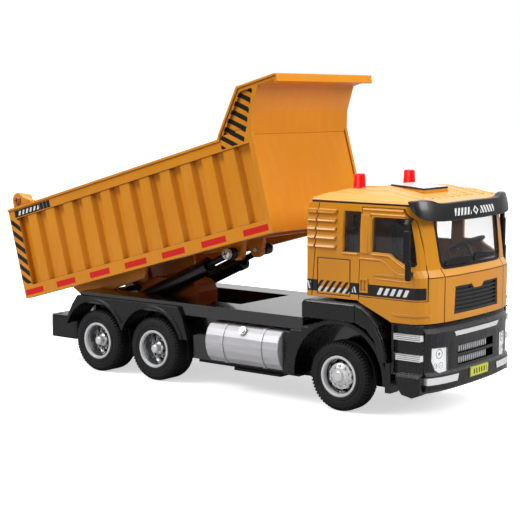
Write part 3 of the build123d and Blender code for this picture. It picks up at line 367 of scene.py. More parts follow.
def cab_enamel():
    """Orange with a black band, hazard bars, door handle with painted shade in its two slots, and
    gutter line.
    """
    mat = Surface("cab_enamel")
    x, y, z = mat.x, mat.y, mat.z
    colour = paint(mat, ORANGE, ORANGE_DEEP)
    side = abs(y) > 29.0
    band = side & (x.within(106.0, 149.7) & z.within(*STRIPE_BAND_Z))
    corner_band = (abs(y) > 26.5) & (x.within(149.5, 153.7) & z.within(*STRIPE_BAND_Z))
    hazard = x.within(111.9, 125.2) & z.within(*STRIPE_BAND_Z)
    slash = mat.stripes(x * 1.0, z * -0.75, pitch=2.6, duty=0.52)
    hazard_low = hazard & (z < 44.6)
    black = (band | corner_band) & (~hazard | slash)
    white = (band & hazard_low) & ~slash
    # plain slanted bars where the toy carries a word, and short ones further back
    word_bars = mat.stripes(x, z * -0.5, pitch=2.55, duty=0.56, phase=0.4)
    word = (side & word_bars) & (x.within(136.2, 149.0) & z.within(43.7, 46.1))
    short_bars = mat.stripes(x, z * 0.3, pitch=1.2, duty=0.5)
    short_marks = (side & short_bars) & (
        (x.within(107.4, 108.8) & z.within(43.6, 46.2))
        | (x.within(126.2, 127.8) & z.within(43.6, 45.6)))
    handle = side & (x.within(129.3, 132.75) & z.within(43.85, 48.75))
    handle_slot_shade = side & ((x.within(129.85, 130.7) & z.within(44.5, 48.1))
                           | (x.within(131.2, 132.1) & z.within(44.5, 48.1)))
    colour = mat.mix(colour, BLACK, (black | 0.0) & ~handle)
    # painted shade: the two slots in the door handle are coloured deep brown
    colour = mat.mix(colour, srgb(60, 26, 6), handle_slot_shade & (abs(y) < 31.2))
    colour = mat.mix(colour, srgb(235, 232, 225), white * 0.85)
    colour = mat.mix(colour, srgb(240, 240, 238), word | short_marks)
    gutter = (abs(y) > 29.3) & (x.within(107.6, 149.8) & z.within(73.78, 74.36))
    colour = mat.mix(colour, srgb(18, 16, 15), gutter | 0.0)
    mat.set(colour=colour)
    return mat.material


# bed-frame X from and to of the red blocks along the foot of the bed side
RED_BLOCKS = ((0.7, 11.5), (19.7, 30.7), (39.3, 50.6), (59.2, 71.0),
              (79.3, 91.1), (99.7, 111.8), (120.2, 132.1))


def bed_enamel():
    """Orange with hazard bars on the rear post and front cheek, a badge and red blocks."""
    mat = Surface("bed_enamel")
    x, y, z = mat.bed_x, mat.y, mat.bed_z
    colour = paint(mat, ORANGE_BED, ORANGE_DEEP,
                   peel=0.025, bevel=0.25, coat=0.25, rough=0.36, groove=1.1)
    # moulding streaks down the ribs
    streak = mat.noise(scale=0.35, rough=0.6, stretch=(1.0, 1.0, 0.12))
    colour = mat.mix(colour, srgb(236, 176, 92), streak.remap(0.45, 0.8, to=(0.0, 0.16)))
    # shade between the side ribs
    shade = mat.crevice(reach=4.5, samples=6).remap(0.35, 0.92, to=(0.85, 0.0))
    colour = mat.mix(colour, srgb(120, 52, 4), shade & (abs(y) > 28.5))
    side = abs(y) > 29.2
    post = side & (x.within(0.2, 5.4) & z.within(5.8, 33.2))
    post_bars = mat.stripes(x * 0.88, z, pitch=4.72, duty=0.52, phase=1.2)
    # cheek of the cab guard, between two slanted edges
    before_edge = x < (z - 38.6) * 0.50 + 131.6
    after_edge = x > (z - 38.6) * 0.90 + 119.8
    cheek = (side & (before_edge & after_edge)) & (z.within(33.9, 51.8) & x.within(118.6, 138.4))
    cheek_bars = mat.stripes(x * 0.75, z, pitch=4.3, duty=0.5, phase=2.2)
    black = (post & post_bars) | (cheek & cheek_bars)
    badge = side & (x.within(3.6, 25.3) & z.within(33.6, 36.5))
    badge_bars = badge & (mat.stripes(x, z * -0.5, pitch=2.3, duty=0.5)
                          & (x.within(5.6, 18.4) & z.within(34.2, 35.9)))
    badge_lines = badge & (mat.stripes(x, 0.0, pitch=2.1, duty=0.12) & (x > 19.0))
    red = x.within(*RED_BLOCKS[0])
    for block in RED_BLOCKS[1:]:
        red = red | x.within(*block)
    red = (red & side) & z.within(1.1, 3.5)
    colour = mat.mix(colour, srgb(20, 18, 16), black | badge)
    colour = mat.mix(colour, srgb(238, 238, 236), badge_bars)
    colour = mat.mix(colour, srgb(150, 150, 148), badge_lines)
    colour = mat.mix(colour, srgb(222, 16, 8), red)
    mat.set(colour=colour)
    return mat.material


# ---------------------------------------------------------------- black plastics and rubber
def moulded_black(name, base, rough, coat=0.0, bevel=0.2, grain=0.03, sheen=0.0):
    """Black moulding with a painted highlight on its edges; `sheen` sets a painted reflection that
    greys the faces that look up.
    """
    mat = Surface(name)
    fine = mat.noise(scale=1.6, rough=0.6)
    drift = mat.noise(scale=0.12, detail=2.0)
    height = fine * 0.7 + mat.noise(scale=0.3, detail=2.0) * 0.5
    mat.relief(height, depth=grain, strength=0.6, bevel=bevel)
    edge = mat.edge()
    colour = mat.mix(base, scaled(base, gain=1.5), drift.remap(0.3, 0.7, to=(0.0, 0.5)))
    # painted highlight along the edges
    colour = mat.mix(colour, scaled(base, gain=2.4, lift=0.012), edge * 0.35)
    # painted reflection on faces that look up, as strong as `sheen`
    colour = mat.mix(colour, srgb(150, 148, 150), mat.upward(low=0.35, high=0.95) * sheen)
    mat.set(colour=colour, rough=fine.remap(0.25, 0.75, to=(rough - 0.05, rough + 0.09)),
            coat=coat, coat_rough=0.05, spec=0.35)
    return mat.material


def bumper_black():
    """Moulded black bumper with painted highlights on edges and top faces, dead black inside the
    two intakes as painted shade.
    """
    mat = Surface("bumper_black")
    fine = mat.noise(scale=1.6, rough=0.6)
    height = fine * 0.7 + mat.noise(scale=0.3, detail=2.0) * 0.5
    mat.relief(height, depth=0.03, strength=0.6, bevel=0.7)
    drift = mat.noise(scale=0.12, detail=2.0).remap(0.3, 0.7, to=(0.0, 0.6))
    colour = mat.mix(srgb(17, 17, 20), srgb(27, 27, 31), drift)
    # painted highlight along the edges
    colour = mat.mix(colour, srgb(120, 119, 124), mat.edge() * 0.5)
    # painted reflection on faces that look up
    colour = mat.mix(colour, srgb(150, 148, 150), mat.upward(low=0.3, high=0.9) * 0.2)
    # painted shade: inside the intakes the bumper is made dead black, without coat or spec
    hole_shade = (abs(mat.y) < 12.5) & (mat.z.within(19.25, 22.15) | mat.z.within(23.15, 26.05))
    hole_shade = hole_shade & (mat.x > 150.0)
    colour = mat.mix(colour, srgb(4, 4, 4), hole_shade)
    shade = mat.crevice(reach=1.4).remap(0.35, 0.9, to=(0.85, 0.0))
    colour = mat.mix(colour, srgb(5, 5, 5), shade)
    mat.set(colour=colour, rough=fine.remap(0.25, 0.75, to=(0.24, 0.34)) + hole_shade * 0.4,
            coat=~hole_shade * 0.3, coat_rough=0.06, spec=~hole_shade * 0.32)
    return mat.material


def visor_plastic():
    """Black with a plain winged-bar motif round a small diamond."""
    mat = Surface("visor_plastic")
    fine = mat.noise(scale=1.5, rough=0.6)
    height = fine + mat.noise(scale=0.25, detail=2.0) * 0.6
    mat.relief(height, depth=0.02, strength=0.5, bevel=0.2)
    drift = mat.noise(scale=0.1).remap(0.3, 0.7, to=(0.0, 0.5))
    colour = mat.mix(srgb(24, 24, 25), srgb(32, 32, 34), drift)
    across = abs(mat.y)
    rise = mat.z - 71.3

    def diamond():
        return abs(mat.y) + abs(rise) * 1.2

    wings = (mat.stripes(across, rise * 0.45, pitch=2.1, duty=0.55)
             & (across.within(3.1, 13.6) & rise.within(-1.25, 1.25)))
    outline = (diamond() < 1.9) & (diamond() > 1.0)
    colour = mat.mix(colour, srgb(238, 238, 238), (wings | outline) & (mat.x > 153.0))
    mat.set(colour=colour, rough=fine.remap(0.25, 0.75, to=(0.30, 0.42)),
            coat=0.25, coat_rough=0.12)
    return mat.material


def tyre_rubber():
    mat = Surface("tyre_rubber")
    fine = mat.noise(scale=2.2, detail=4.0, rough=0.65)
    broad = mat.noise(scale=0.25, rough=0.55)
    mat.relief(fine * 0.8 + broad * 0.5, depth=0.05, strength=0.7, bevel=0.12)
    colour = mat.mix(srgb(23, 23, 24), srgb(36, 36, 38), broad.remap(0.3, 0.7))
    # painted highlight along the edges
    colour = mat.mix(colour, srgb(84, 84, 88), mat.edge() * 0.35)
    mat.set(colour=colour, rough=fine.remap(0.2, 0.8, to=(0.52, 0.72)), spec=0.35)
    return mat.material


def grille_black():
    mat = Surface("grille_black")
    fine = mat.noise(scale=1.8, rough=0.6)
    mat.relief(fine, depth=0.03, strength=0.6, bevel=0.12)
    shade = mat.crevice(reach=1.0).remap(0.2, 0.9, to=(1.0, 0.0))
    colour = mat.mix(srgb(36, 37, 38), srgb(6, 6, 6), shade)
    # painted highlight along the edges
    colour = mat.mix(colour, srgb(96, 97, 98), mat.edge() * 0.5)
    mat.set(colour=colour, rough=fine.remap(0.2, 0.8, to=(0.34, 0.5)))
    return mat.material


def frame_gloss_black():
    """Glossy black frame; the flat deck is a near mirror at a low angle."""
    mat = Surface("frame_gloss_black")
    fine = mat.noise(scale=0.9, rough=0.6)
    mat.relief(fine * 0.4 + mat.noise(scale=0.12) * 0.8, depth=0.02, strength=0.5, bevel=0.22)
    drift = mat.noise(scale=0.1).remap(0.3, 0.7, to=(0.0, 0.6))
    colour = mat.mix(srgb(14, 13, 14), srgb(20, 19, 20), drift)
    # painted highlight along the edges
    colour = mat.mix(colour, srgb(92, 92, 94), mat.edge() * 0.35)
    mat.set(colour=colour, rough=fine.remap(0.2, 0.8, to=(0.16, 0.26)),
            coat=0.8, coat_rough=0.06, spec=0.6)
    return mat.material


# ---------------------------------------------------------------- metals
def chrome(name, tint, rough, metal):
    mat = Surface(name)
    fine = mat.noise(scale=1.2, rough=0.6)
    mat.relief(fine * 0.3 + mat.noise(scale=0.25), depth=0.003, strength=0.5, bevel=0.1)
    shade = mat.crevice(reach=1.6).remap(0.3, 0.95, to=(0.92, 0.0))
    mat.set(colour=mat.mix(tint, (0.05, 0.05, 0.055, 1.0), shade), metal=metal,
            rough=fine.remap(0.2, 0.8, to=(rough * 0.8, rough * 1.5)))
    return mat.material


def hub(name, axle_x, holes, hole_ring, front):
    """Plated wheel: bright satin rim and disc, mirror cone, hand holes on a ring darkened near
    black as painted shade.
    """
    mat = Surface(name)
    fine = mat.noise(scale=1.2, rough=0.6)
    x, z = mat.x - axle_x, mat.z - WHEEL_RADIUS
    radius = (x * x + z * z).math("SQRT")
    turning_marks = (radius * 40.0).math("SINE")
    mat.relief(fine * 0.4 + turning_marks * 0.12, depth=0.006, strength=0.5, bevel=0.12)
    step = math.radians(360.0 / holes)
    # share of a step away from the nearest hole's middle
    share = abs((z.math("ARCTAN2", x) / step + 20.5).math("FRACT") - 0.5)
    if front:       # oval holes
        around = share * step * radius
        outward = radius - hole_ring
        distance = (around * around * 1.0 + outward * outward * 1.7).math("SQRT")
        hole_shade = distance.remap(0.86, 1.0, to=(1.0, 0.0))
        disc_radius = 4.7
    else:           # round holes
        around = share * (step * hole_ring)
        outward = radius - hole_ring
        distance = (around * around + outward * outward).math("SQRT")
        hole_shade = distance.remap(0.72, 0.84, to=(1.0, 0.0))
        disc_radius = 2.1
    bright = (radius < disc_radius) | (radius > 6.2)
    shade = mat.crevice(reach=1.2, samples=6).remap(0.3, 0.95, to=(0.8, 0.0))
    colour = mat.mix((0.9, 0.9, 0.91, 1.0), (0.06, 0.06, 0.065, 1.0), shade)
    colour = mat.mix(colour, (0.22, 0.22, 0.23, 1.0), ~bright * 0.55)
    # painted shade: the hand holes are coloured near black and lose their metal
    colour = mat.mix(colour, (0.006, 0.006, 0.007, 1.0), hole_shade)
    mat.set(colour=colour, metal=~(bright * 0.55) & ~hole_shade,
            rough=fine.remap(0.2, 0.8, to=(0.14, 0.24)) + bright * 0.14, spec=0.4)
    return mat.material


def silver_satin():
    """Satin silver lacquer with fine flake and faint brushing."""
    mat = Surface("silver_satin")
    flake = mat.noise(scale=3.5, detail=2.0, rough=0.7)
    brush = mat.noise(scale=0.8, detail=4.0, rough=0.7, stretch=(0.06, 1.0, 1.0))
    mat.relief(flake * 0.5 + brush * 0.8, depth=0.02, strength=0.6, bevel=0.25)
    colour = mat.mix(srgb(224, 223, 227), srgb(186, 185, 190),
                     brush.remap(0.3, 0.7, to=(0.0, 0.6)))
    shade = mat.crevice(reach=0.8).remap(0.3, 0.85, to=(0.7, 0.0))
    mat.set(colour=mat.mix(colour, srgb(80, 80, 84), shade), metal=0.3,
            rough=flake.remap(0.2, 0.8, to=(0.34, 0.5)), spec=0.5, coat=0.2, coat_rough=0.25)
    return mat.material


def steel(name, base):
    mat = Surface(name)
    fine = mat.noise(scale=2.5, rough=0.6)
    mat.relief(fine, depth=0.02, strength=0.5, bevel=0.1)
    mat.set(colour=mat.mix(base, (0.38, 0.38, 0.4, 1.0), fine), metal=1.0,
            rough=fine.remap(0.2, 0.8, to=(0.2, 0.4)))
    return mat.material


# ---------------------------------------------------------------- clear and small parts
def glass(name, tint, opacity):
    """Thin clear moulding: see-through with a glossy skin and faint moulding ripple."""
    mat = Surface(name)
    ripple = mat.noise(scale=0.12, detail=2.0)
    smudge = mat.noise(scale=0.35, detail=4.0, rough=0.7)
    normal = mat.bump(ripple, depth=0.02, strength=0.3)
    transparent = mat.node("ShaderNodeBsdfTransparent")
    glossy = mat.node("ShaderNodeBsdfGlossy")
    glossy.inputs["Roughness"].default_value = 0.03
    mat.put(glossy.inputs["Normal"], normal)
    smudged = mat.mix(tint, (0.4, 0.4, 0.42, 1.0), smudge.remap(0.4, 0.7, to=(0.0, 0.25)))
    mat.set(colour=smudged, rough=smudge.remap(0.3, 0.7, to=(0.08, 0.16)), spec=0.3)
    # reflection grows from 0.035 face on towards a grazing view
    facing = mat.dot(mat.output("ShaderNodeNewGeometry", "Incoming"), normal)
    grazing = mat.math("SUBTRACT", 1.0, abs(facing), clamp=True)
    reflection = (grazing.math("POWER", 5.0) * 0.8).math("ADD", 0.035, clamp=True)
    body = mat.mix_shaders(opacity, transparent.outputs[0], mat.principled.outputs[0])
    mat.link(mat.mix_shaders(reflection, body, glossy.outputs[0]), mat.end.inputs[0])
    return mat.material


def beacon_red():
    """Red lamps with fine upright ribs round each one and a faint painted glow."""
    mat = Surface("beacon_red")
    lamp_y = mat.y.math("SIGN") * 16.5
    angle = (mat.y - lamp_y).math("ARCTAN2", mat.x - 119.1)
    ribs = (angle * 20.0).math("SINE")
    mat.relief(ribs * 0.4 + mat.noise(scale=0.8) * 0.4, depth=0.08, strength=0.7, bevel=0.25)
    # the red deepens towards the bottom; glow=0.34 is a painted glow that brightens the red
    mat.set(colour=mat.mix(srgb(168, 0, 4), srgb(236, 18, 16), mat.z.remap(77.9, 83.4)),
            rough=mat.noise(scale=1.2).remap(0.2, 0.8, to=(0.12, 0.22)),
            coat=0.6, coat_rough=0.05, transmission=0.15, ior=1.49,
            glow_colour=srgb(255, 16, 10), glow=0.34)
    return mat.material


def roof_button_plastic():
    """Black border round a pale top, orange below a sloping line."""
    mat = Surface("roof_button_plastic")
    fine = mat.noise(scale=1.4, rough=0.6)
    mat.relief(fine + mat.noise(scale=0.3) * 0.5, depth=0.02, strength=0.5, bevel=0.25)
    inner = (abs(mat.y) < 8.25) & mat.x.within(126.95, 140.1)
    pale = mat.mix(srgb(222, 221, 226), srgb(232, 231, 236),
                   mat.noise(scale=0.2).remap(0.3, 0.7))
    colour = mat.mix(srgb(30, 29, 31), pale, inner)
    below = mat.z < 78.72 - (mat.x - 126.6) * 0.0715
    mat.set(colour=mat.mix(colour, ORANGE, below),
            rough=fine.remap(0.2, 0.8, to=(0.25, 0.38)), coat=0.4)
    return mat.material


def plate_yellow():
    """Number plate with plain strokes and a darker border."""
    mat = Surface("plate_yellow")
    y, z = mat.y, mat.z
    fine = mat.noise(scale=1.6, rough=0.6)
    mat.relief(fine, depth=0.02, strength=0.5, bevel=0.15)
    strokes = ((abs(y).within(-1.0, 5.1) & z.within(14.95, 16.9))
               & mat.stripes(y, z * 0.15, pitch=1.75, duty=0.5))
    border = ~((abs(y) < 5.95) & z.within(14.5, 17.3))
    yellow = mat.mix(srgb(222, 224, 44), srgb(232, 232, 66), fine.remap(0.3, 0.7))
    colour = mat.mix(yellow, srgb(40, 40, 20), strokes | border * 0.0)
    mat.set(colour=mat.mix(colour, srgb(120, 118, 30), border * 0.6), rough=0.4, coat=0.2)
    return mat.material


def lamp(name, base, glow, rough):
    """Plated lamp bowl with fine flutes and a little painted glow that brightens it."""
    mat = Surface(name)
    flutes = (mat.y * 9.0).math("SINE")
    fine = mat.noise(scale=1.6, detail=2.0)
    mat.relief(flutes * 0.5 + fine * 0.4, depth=0.03, strength=0.6, bevel=0.12)
    colour = mat.mix(base, scaled(base, gain=0.8), fine.remap(0.3, 0.7, to=(0.0, 0.25)))
    mat.set(colour=colour, metal=0.15, rough=rough, coat=0.5, coat_rough=0.05,
            glow_colour=base, glow=glow)
    return mat.material


MATERIALS = {
    "cab": cab_enamel(),
    "bed": bed_enamel(),
    "gate": plain_enamel("tailgate_enamel", ORANGE_BED, ORANGE_DEEP,
                         peel=0.025, bevel=0.22, coat=0.4, rough=0.35),
    # painted shade: a brown copy of the bed orange, as it looks under the bed; the cradle and the
    # tailgate screws wear it
    "cradle": plain_enamel("cradle_painted_shade", srgb(176, 92, 30), srgb(150, 74, 20),
                           peel=0.03, bevel=0.3, coat=0.2, rough=0.42),
    "gloss": moulded_black("gloss_black", srgb(12, 12, 13), rough=0.24,
                           coat=0.35, bevel=0.8, sheen=0.22),
    "bumper": bumper_black(),
    "satin": moulded_black("satin_black", srgb(19, 19, 21), rough=0.40, grain=0.04),
    "fender": moulded_black("fender_black", srgb(15, 15, 17), rough=0.28,
                            coat=0.3, bevel=0.8, sheen=0.12),
    "inside": moulded_black("interior_grey", srgb(27, 27, 29), rough=0.5, grain=0.06),
    "ram": moulded_black("ram_black", srgb(15, 15, 16), rough=0.3, coat=0.3),
    "visor": visor_plastic(),
    "tyre": tyre_rubber(),
    "chrome": chrome("chrome", (0.86, 0.87, 0.88, 1.0), rough=0.16, metal=1.0),
    "trim": chrome("chrome_trim_bright", (0.95, 0.95, 0.96, 1.0), rough=0.2, metal=0.42),
    "hub_front": hub("hub_front", FRONT_AXLE_X, holes=10, hole_ring=5.35, front=True),
    "hub_middle": hub("hub_middle", MIDDLE_AXLE_X, holes=8, hole_ring=4.25, front=False),
    "hub_rear": hub("hub_rear", REAR_AXLE_X, holes=8, hole_ring=4.25, front=False),
    "silver": silver_satin(),
    "steel": steel("steel", (0.55, 0.55, 0.56, 1.0)),
    "cell": steel("cell_can", (0.75, 0.74, 0.7, 1.0)),
    "clear": glass("clear_glazing", (0.75, 0.78, 0.8, 1.0), opacity=0.025),
    "tint": glass("smoke_glazing", (0.04, 0.04, 0.045, 1.0), opacity=0.14),
    "lens": glass("lamp_lens", (0.9, 0.9, 0.92, 1.0), opacity=0.05),
    "beacon": beacon_red(),
    "button": roof_button_plastic(),
    "plate": plate_yellow(),
    "grille": grille_black(),
    "deck": frame_gloss_black(),
    # the tray's glow=0.16 is a painted glow that brightens it
    "tray": lamp("lamp_tray", srgb(248, 248, 250), glow=0.16, rough=0.3),
    "bulb": lamp("lamp_bulb", srgb(150, 150, 154), glow=0.0, rough=0.2),
    "bulb_dark": lamp("lamp_bulb_dark", srgb(62, 62, 66), glow=0.0, rough=0.15),
}

# material key: the CAD pieces that wear it
PIECES = {
    "cab": "cab_shell door_right door_left",
    "bed": "bed_tub",
    "gate": "tailgate",
    "cradle": "ram_cradle tailgate_screws",
    "gloss": "mudguard_right mudguard_left step_blocks",
    "bumper": "front_bumper",
    "satin": "base_plate battery_cover speaker wipers mirror_right mirror_left ram_rods",
    "fender": "rear_fender_right rear_fender_left rear_bumper",
    "inside": "cab_interior steering_wheel",
    "ram": "ram_tubes",
    "visor": "sun_visor",
    "tyre": "front_tyres middle_tyres rear_tyres",
    "chrome": "tank_caps ram_screws",
    "trim": "side_steps bumper_bar bumper_strips",
    "hub_front": "front_hubs",
    "hub_middle": "middle_hubs",
    "hub_rear": "rear_hubs",
    "silver": "fuel_tank_right fuel_tank_left tank_straps",
    "steel": "base_screws ram_base_pin bed_hinge_pin button_spring "
             "front_axle middle_axle rear_axle",
    "cell": "button_cells",
    "clear": "windscreen",
    "tint": "quarter_windows door_glass_right door_glass_left",
    "lens": "headlamp_lenses",
    "beacon": "beacons",
    "button": "roof_button",
    "plate": "licence_plate",
    "grille": "grille",
    "deck": "chassis_frame",
}
for key, pieces in PIECES.items():
    for piece in pieces.split():
        slots = NODES[piece].data.materials
        slots.clear()
        slots.append(MATERIALS[key])


# ---------------------------------------------------------------- mesh building
# chamfered bar section: shares of the half width and half depth
BAR_SECTION = ((-1, -0.6), (-0.6, -1), (0.6, -1), (1, -0.6),
               (1, 0.6), (0.6, 1), (-0.6, 1), (-1, 0.6))


class Shape:
    """Vertices in metres and faces, gathered for one object."""

    def __init__(self):
        self.verts = []
        self.faces = []

    def loft(self, rings, wrap=True, loop=False):
        """Skins equal rings. wrap closes each ring; loop joins the last ring to the first,
        otherwise both ends are capped."""
        start, size = len(self.verts), len(rings[0])
        for ring in rings:
            self.verts += ring
        for i in range(len(rings) - (not loop)):
            here = start + i * size
            there = start + (i + 1) % len(rings) * size
            for j in range(size - (not wrap)):
                k = (j + 1) % size
                self.faces.append((here + j, here + k, there + k, there + j))
        if not loop:
            last = start + (len(rings) - 1) * size
            self.faces.append(tuple(range(start, start + size)))
            self.faces.append(tuple(reversed(range(last, last + size))))

    def revolve(self, profile, segments, place):
        """Turns (radius, along) points; place(radius, along, angle) gives the vertex."""
        start, size = len(self.verts), len(profile)
        for i in range(segments):
            angle = 2 * math.pi * i / segments
            self.verts += [place(radius, along, angle) for radius, along in profile]
        for i in range(segments):
            here = start + i * size
            there = start + (i + 1) % segments * size
            for j in range(size - 1):
                self.faces.append((here + j, there + j, there + j + 1, here + j + 1))

    def bar(self, begin, end, half_width, half_depth, depth_axis):
        """Straight bar with chamfered edges."""
        begin, end, depth_axis = Vector(begin), Vector(end), Vector(depth_axis)
        width_axis = (end - begin).normalized().cross(depth_axis).normalized()
        self.loft([[point(*(centre + width_axis * (half_width * across)
                            + depth_axis * (half_depth * deep)))
                    for across, deep in BAR_SECTION] for centre in (begin, end)])

    def bead(self, path, width, height, place):
        """Rounded moulding along a path of surface points, cut into steps of 2 to 4 mm."""
        stations = []
        for (a, b), (c, d) in zip(path, path[1:]):
            steps = max(1, int(math.hypot(c - a, d - b) / 2.0))
            stations += [(a + (c - a) * i / steps, b + (d - b) * i / steps)
                         for i in range(steps)]
        stations.append(path[-1])
        # offset across as a share of the width, lift off the surface in mm
        section = ((-0.5, -0.25), (-0.47, 0.35 * height), (-0.36, 0.78 * height),
                   (-0.18, height), (0.18, height), (0.36, 0.78 * height),
                   (0.47, 0.35 * height), (0.5, -0.25))
        rings = []
        for i, (a, b) in enumerate(stations):
            before = stations[max(0, i - 1)]
            after = stations[min(len(stations) - 1, i + 1)]
            along = Vector((after[0] - before[0], after[1] - before[1])).normalized()
            rings.append([place(a - along.y * offset * width, b + along.x * offset * width, lift)
                          for offset, lift in section])
        self.loft(rings, wrap=False)

    def build(self, name, material, body, sharp=30):
        """Makes the smooth-shaded object; edges over `sharp` degrees stay sharp."""
        mesh = bpy.data.meshes.new(name)
        mesh.from_pydata([tuple(vert) for vert in self.verts], [], self.faces)
        editable = bmesh.new()
        editable.from_mesh(mesh)
        bmesh.ops.recalc_face_normals(editable, faces=editable.faces)
        editable.to_mesh(mesh)
        editable.free()
        mesh.update()
        obj = bpy.data.objects.new(name, mesh)
        scene.collection.objects.link(obj)
        mesh.materials.append(MATERIALS[material])
        for polygon in mesh.polygons:
            polygon.use_smooth = True
        if sharp:
            mesh.set_sharp_from_angle(angle=math.radians(sharp))
        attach(obj, body)
        return obj


# ---------------------------------------------------------------- tyres
# outer half of the section from the bead to the tread:
# radius, distance in from the face, depth of the notch between lugs
TYRE_WALL = (
    (7.46, 0.55, 0), (7.62, 0.2, 0), (8.1, 0.06, 0), (8.45, 0.06, 0), (8.6, 0.24, 0),
    (8.85, 0.24, 0), (9.0, 0.04, 0), (9.7, 0.0, 0), (10.15, 0.04, 0), (10.25, 0.18, 0),
    (10.5, 0.2, 0), (10.62, 0.12, 0), (11.2, 0.3, 0.0), (11.35, 0.4, 0.2), (11.95, 0.72, 0.36),
    (12.25, 1.0, 0.42), (12.45, 1.5, 0.42), (WHEEL_RADIUS, 2.0, 0.36),
    (WHEEL_RADIUS, 2.1, 0.0), (WHEEL_RADIUS, 2.9, 0.0),
)
# radius, distance from the middle of the tread; the groove floor comes between the mirrored pair
GROOVE_LIP = ((WHEEL_RADIUS, 0.9), (12.42, 0.75))
GROOVE_HALF_FLOOR = 0.55
LUGS = 60
LUG_STATIONS = ((0.0, 0), (0.46, 0), (0.54, 1), (0.92, 1))    # share of the pitch, 1 in a notch
NOTCH_INSET = 0.12


def tyre_pair(wheels, axle_x, width, groove_radius):
    middle = width / 2
    lip = GROOVE_LIP + ((groove_radius, GROOVE_HALF_FLOOR),)
    profile = list(TYRE_WALL)
    profile += [(radius, middle - off, 0) for radius, off in lip]
    profile += [(radius, middle + off, 0) for radius, off in reversed(lip)]
    profile += [(radius, width - inset, notch) for radius, inset, notch in reversed(TYRE_WALL)]
    shape = Shape()
    for side in (-1, 1):
        rings = []
        for lug in range(LUGS):
            for share, notched in LUG_STATIONS:
                angle = 2 * math.pi * (lug + share) / LUGS
                ring = []
                for radius, inset, notch in profile:
                    radius -= notch * notched
                    if notch:
                        inset += NOTCH_INSET * notched * (1 if inset < middle else -1)
                    ring.append(point(axle_x + radius * math.cos(angle),
                                      side * (TYRE_FACE_Y - inset),
                                      WHEEL_RADIUS + radius * math.sin(angle)))
                rings.append(ring)
        shape.loft(rings, loop=True)
    tyres = wheels + "_tyres"
    obj = shape.build(tyres + "_treaded", "tyre", wheels + "_wheels", sharp=32)
    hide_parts(tyres)


tyre_pair("front", FRONT_AXLE_X, width=7.8, groove_radius=12.0)
tyre_pair("middle", MIDDLE_AXLE_X, width=11.2, groove_radius=11.6)
tyre_pair("rear", REAR_AXLE_X, width=11.2, groove_radius=11.6)

# ---------------------------------------------------------------- sun visor: one curved moulding
# from the left end to the middle: foot (x, y, z) and top (x, y, z) of the outer skin
VISOR_STATIONS = (
    ((149.5, 31.95, 73.3), (149.4, 31.85, 75.4)),
    ((150.9, 31.75, 71.7), (150.4, 31.3, 75.65)),
    ((152.3, 31.0, 70.2), (151.4, 30.2, 75.8)),
    ((153.6, 29.0, 69.3), (152.3, 28.2, 75.85)),
    ((154.6, 26.2, 68.95), (153.1, 25.6, 75.8)),
    ((155.1, 23.6, 68.75), (153.6, 23.4, 75.45)),
    ((155.5, 21.4, 68.6), (154.1, 21.5, 74.6)),
    ((155.8, 18.0, 68.52), (154.5, 18.0, 74.35)),
    ((156.3, 9.5, 68.4), (154.9, 9.5, 74.5)),
    ((156.6, 0.0, 68.35), (155.1, 0.0, 74.6)),
)


def visor_ring(foot, top):
    """Section of the visor: outer skin upwards, over the top, then down the inner skin."""
    slant = 0.45 * max(-1.0, min(1.0, foot.y / 20.0))
    inward = Vector((-1.0, -slant, 0)).normalized()
    belly = foot.lerp(top, 0.5) - inward * 0.3
    crown = top + inward * 2.6 + Vector((0, 0, 0.2))
    drop = Vector((0, 0, 0.8))
    ring = (foot, foot.lerp(belly, 0.15), belly, belly.lerp(top, 0.85), top,
            top + inward * 0.35 + Vector((0, 0, 0.06)), crown, crown - drop,
            top + inward * 1.0 - drop, belly + inward * 0.85,
            foot + inward * 0.8 + Vector((0, 0, 0.1)))
    return [point(*corner) for corner in ring]


def sun_visor():
    right = [[Vector((x, -y, z)) for x, y, z in station] for station in VISOR_STATIONS]
    left = [[Vector(corner) for corner in station] for station in VISOR_STATIONS[:-1]]
    shape = Shape()
    shape.loft([visor_ring(foot, top) for foot, top in right + left[::-1]])
    obj = shape.build("sun_visor_moulded", "visor", "chassis", sharp=None)
    rounding = obj.modifiers.new("round", "SUBSURF")
    rounding.levels = rounding.render_levels = 3
    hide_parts("sun_visor")


sun_visor()

# ---------------------------------------------------------------- surfaces of the cab
# half breadth, x of the nose
NOSE = ((0.0, 157.5), (8.0, 157.4), (15.0, 157.0), (20.0, 156.4), (24.0, 155.6),
        (26.8, 154.6), (28.6, 153.5), (30.0, 152.2), (30.9, 150.9), (CAB_HALF_WIDTH, 149.6))
# x, height of the roof along its middle
ROOF_LENGTHWISE = ((107.9, 73.8), (109.5, 75.6), (113.0, 76.9), (120.0, 78.4), (126.6, 79.0),
                   (132.0, 78.3), (138.5, 77.0), (144.0, 76.0), (149.5, 75.0))
# half breadth, height of the roof across
ROOF_ACROSS = ((0.0, 79.3), (10.0, 79.0), (20.0, 78.0), (27.4, 76.4), (29.6, 75.2), (30.5, 74.0))


def interpolate(table, key):
    for (low, first), (high, second) in zip(table, table[1:]):
        if key <= high:
            return first + (second - first) * (key - low) / (high - low)
    return table[-1][1]


def nose_x(y):
    return interpolate(NOSE, abs(y))


def side_y(z):
    """Half width of the cab at height z."""
    if z < 74.0:
        return min(CAB_HALF_WIDTH, 31.6 - 0.06875 * (z - 58.0))
    return 30.5 - 0.75 * (z - 74.0)


def front_x(y, z):
    """Front of the cab, which leans back above the sill."""
    if z <= 50.2:
        lean = 0.0
    elif z < 52.6:
        lean = -1.7 * (z - 50.2) / 2.4
    else:
        lean = -1.7 - 3.9 * (z - 52.6) / 29.4
    return nose_x(y) + lean


def on_side(side):
    return lambda x, z, lift: point(x, side * (side_y(z) + lift), z)


def on_roof(x, y, lift):
    height = min(interpolate(ROOF_LENGTHWISE, x), interpolate(ROOF_ACROSS, abs(y)))
    return point(x, y, height + lift)


def on_front(y, z, lift):
    return point(front_x(y, z) + lift, y, z)


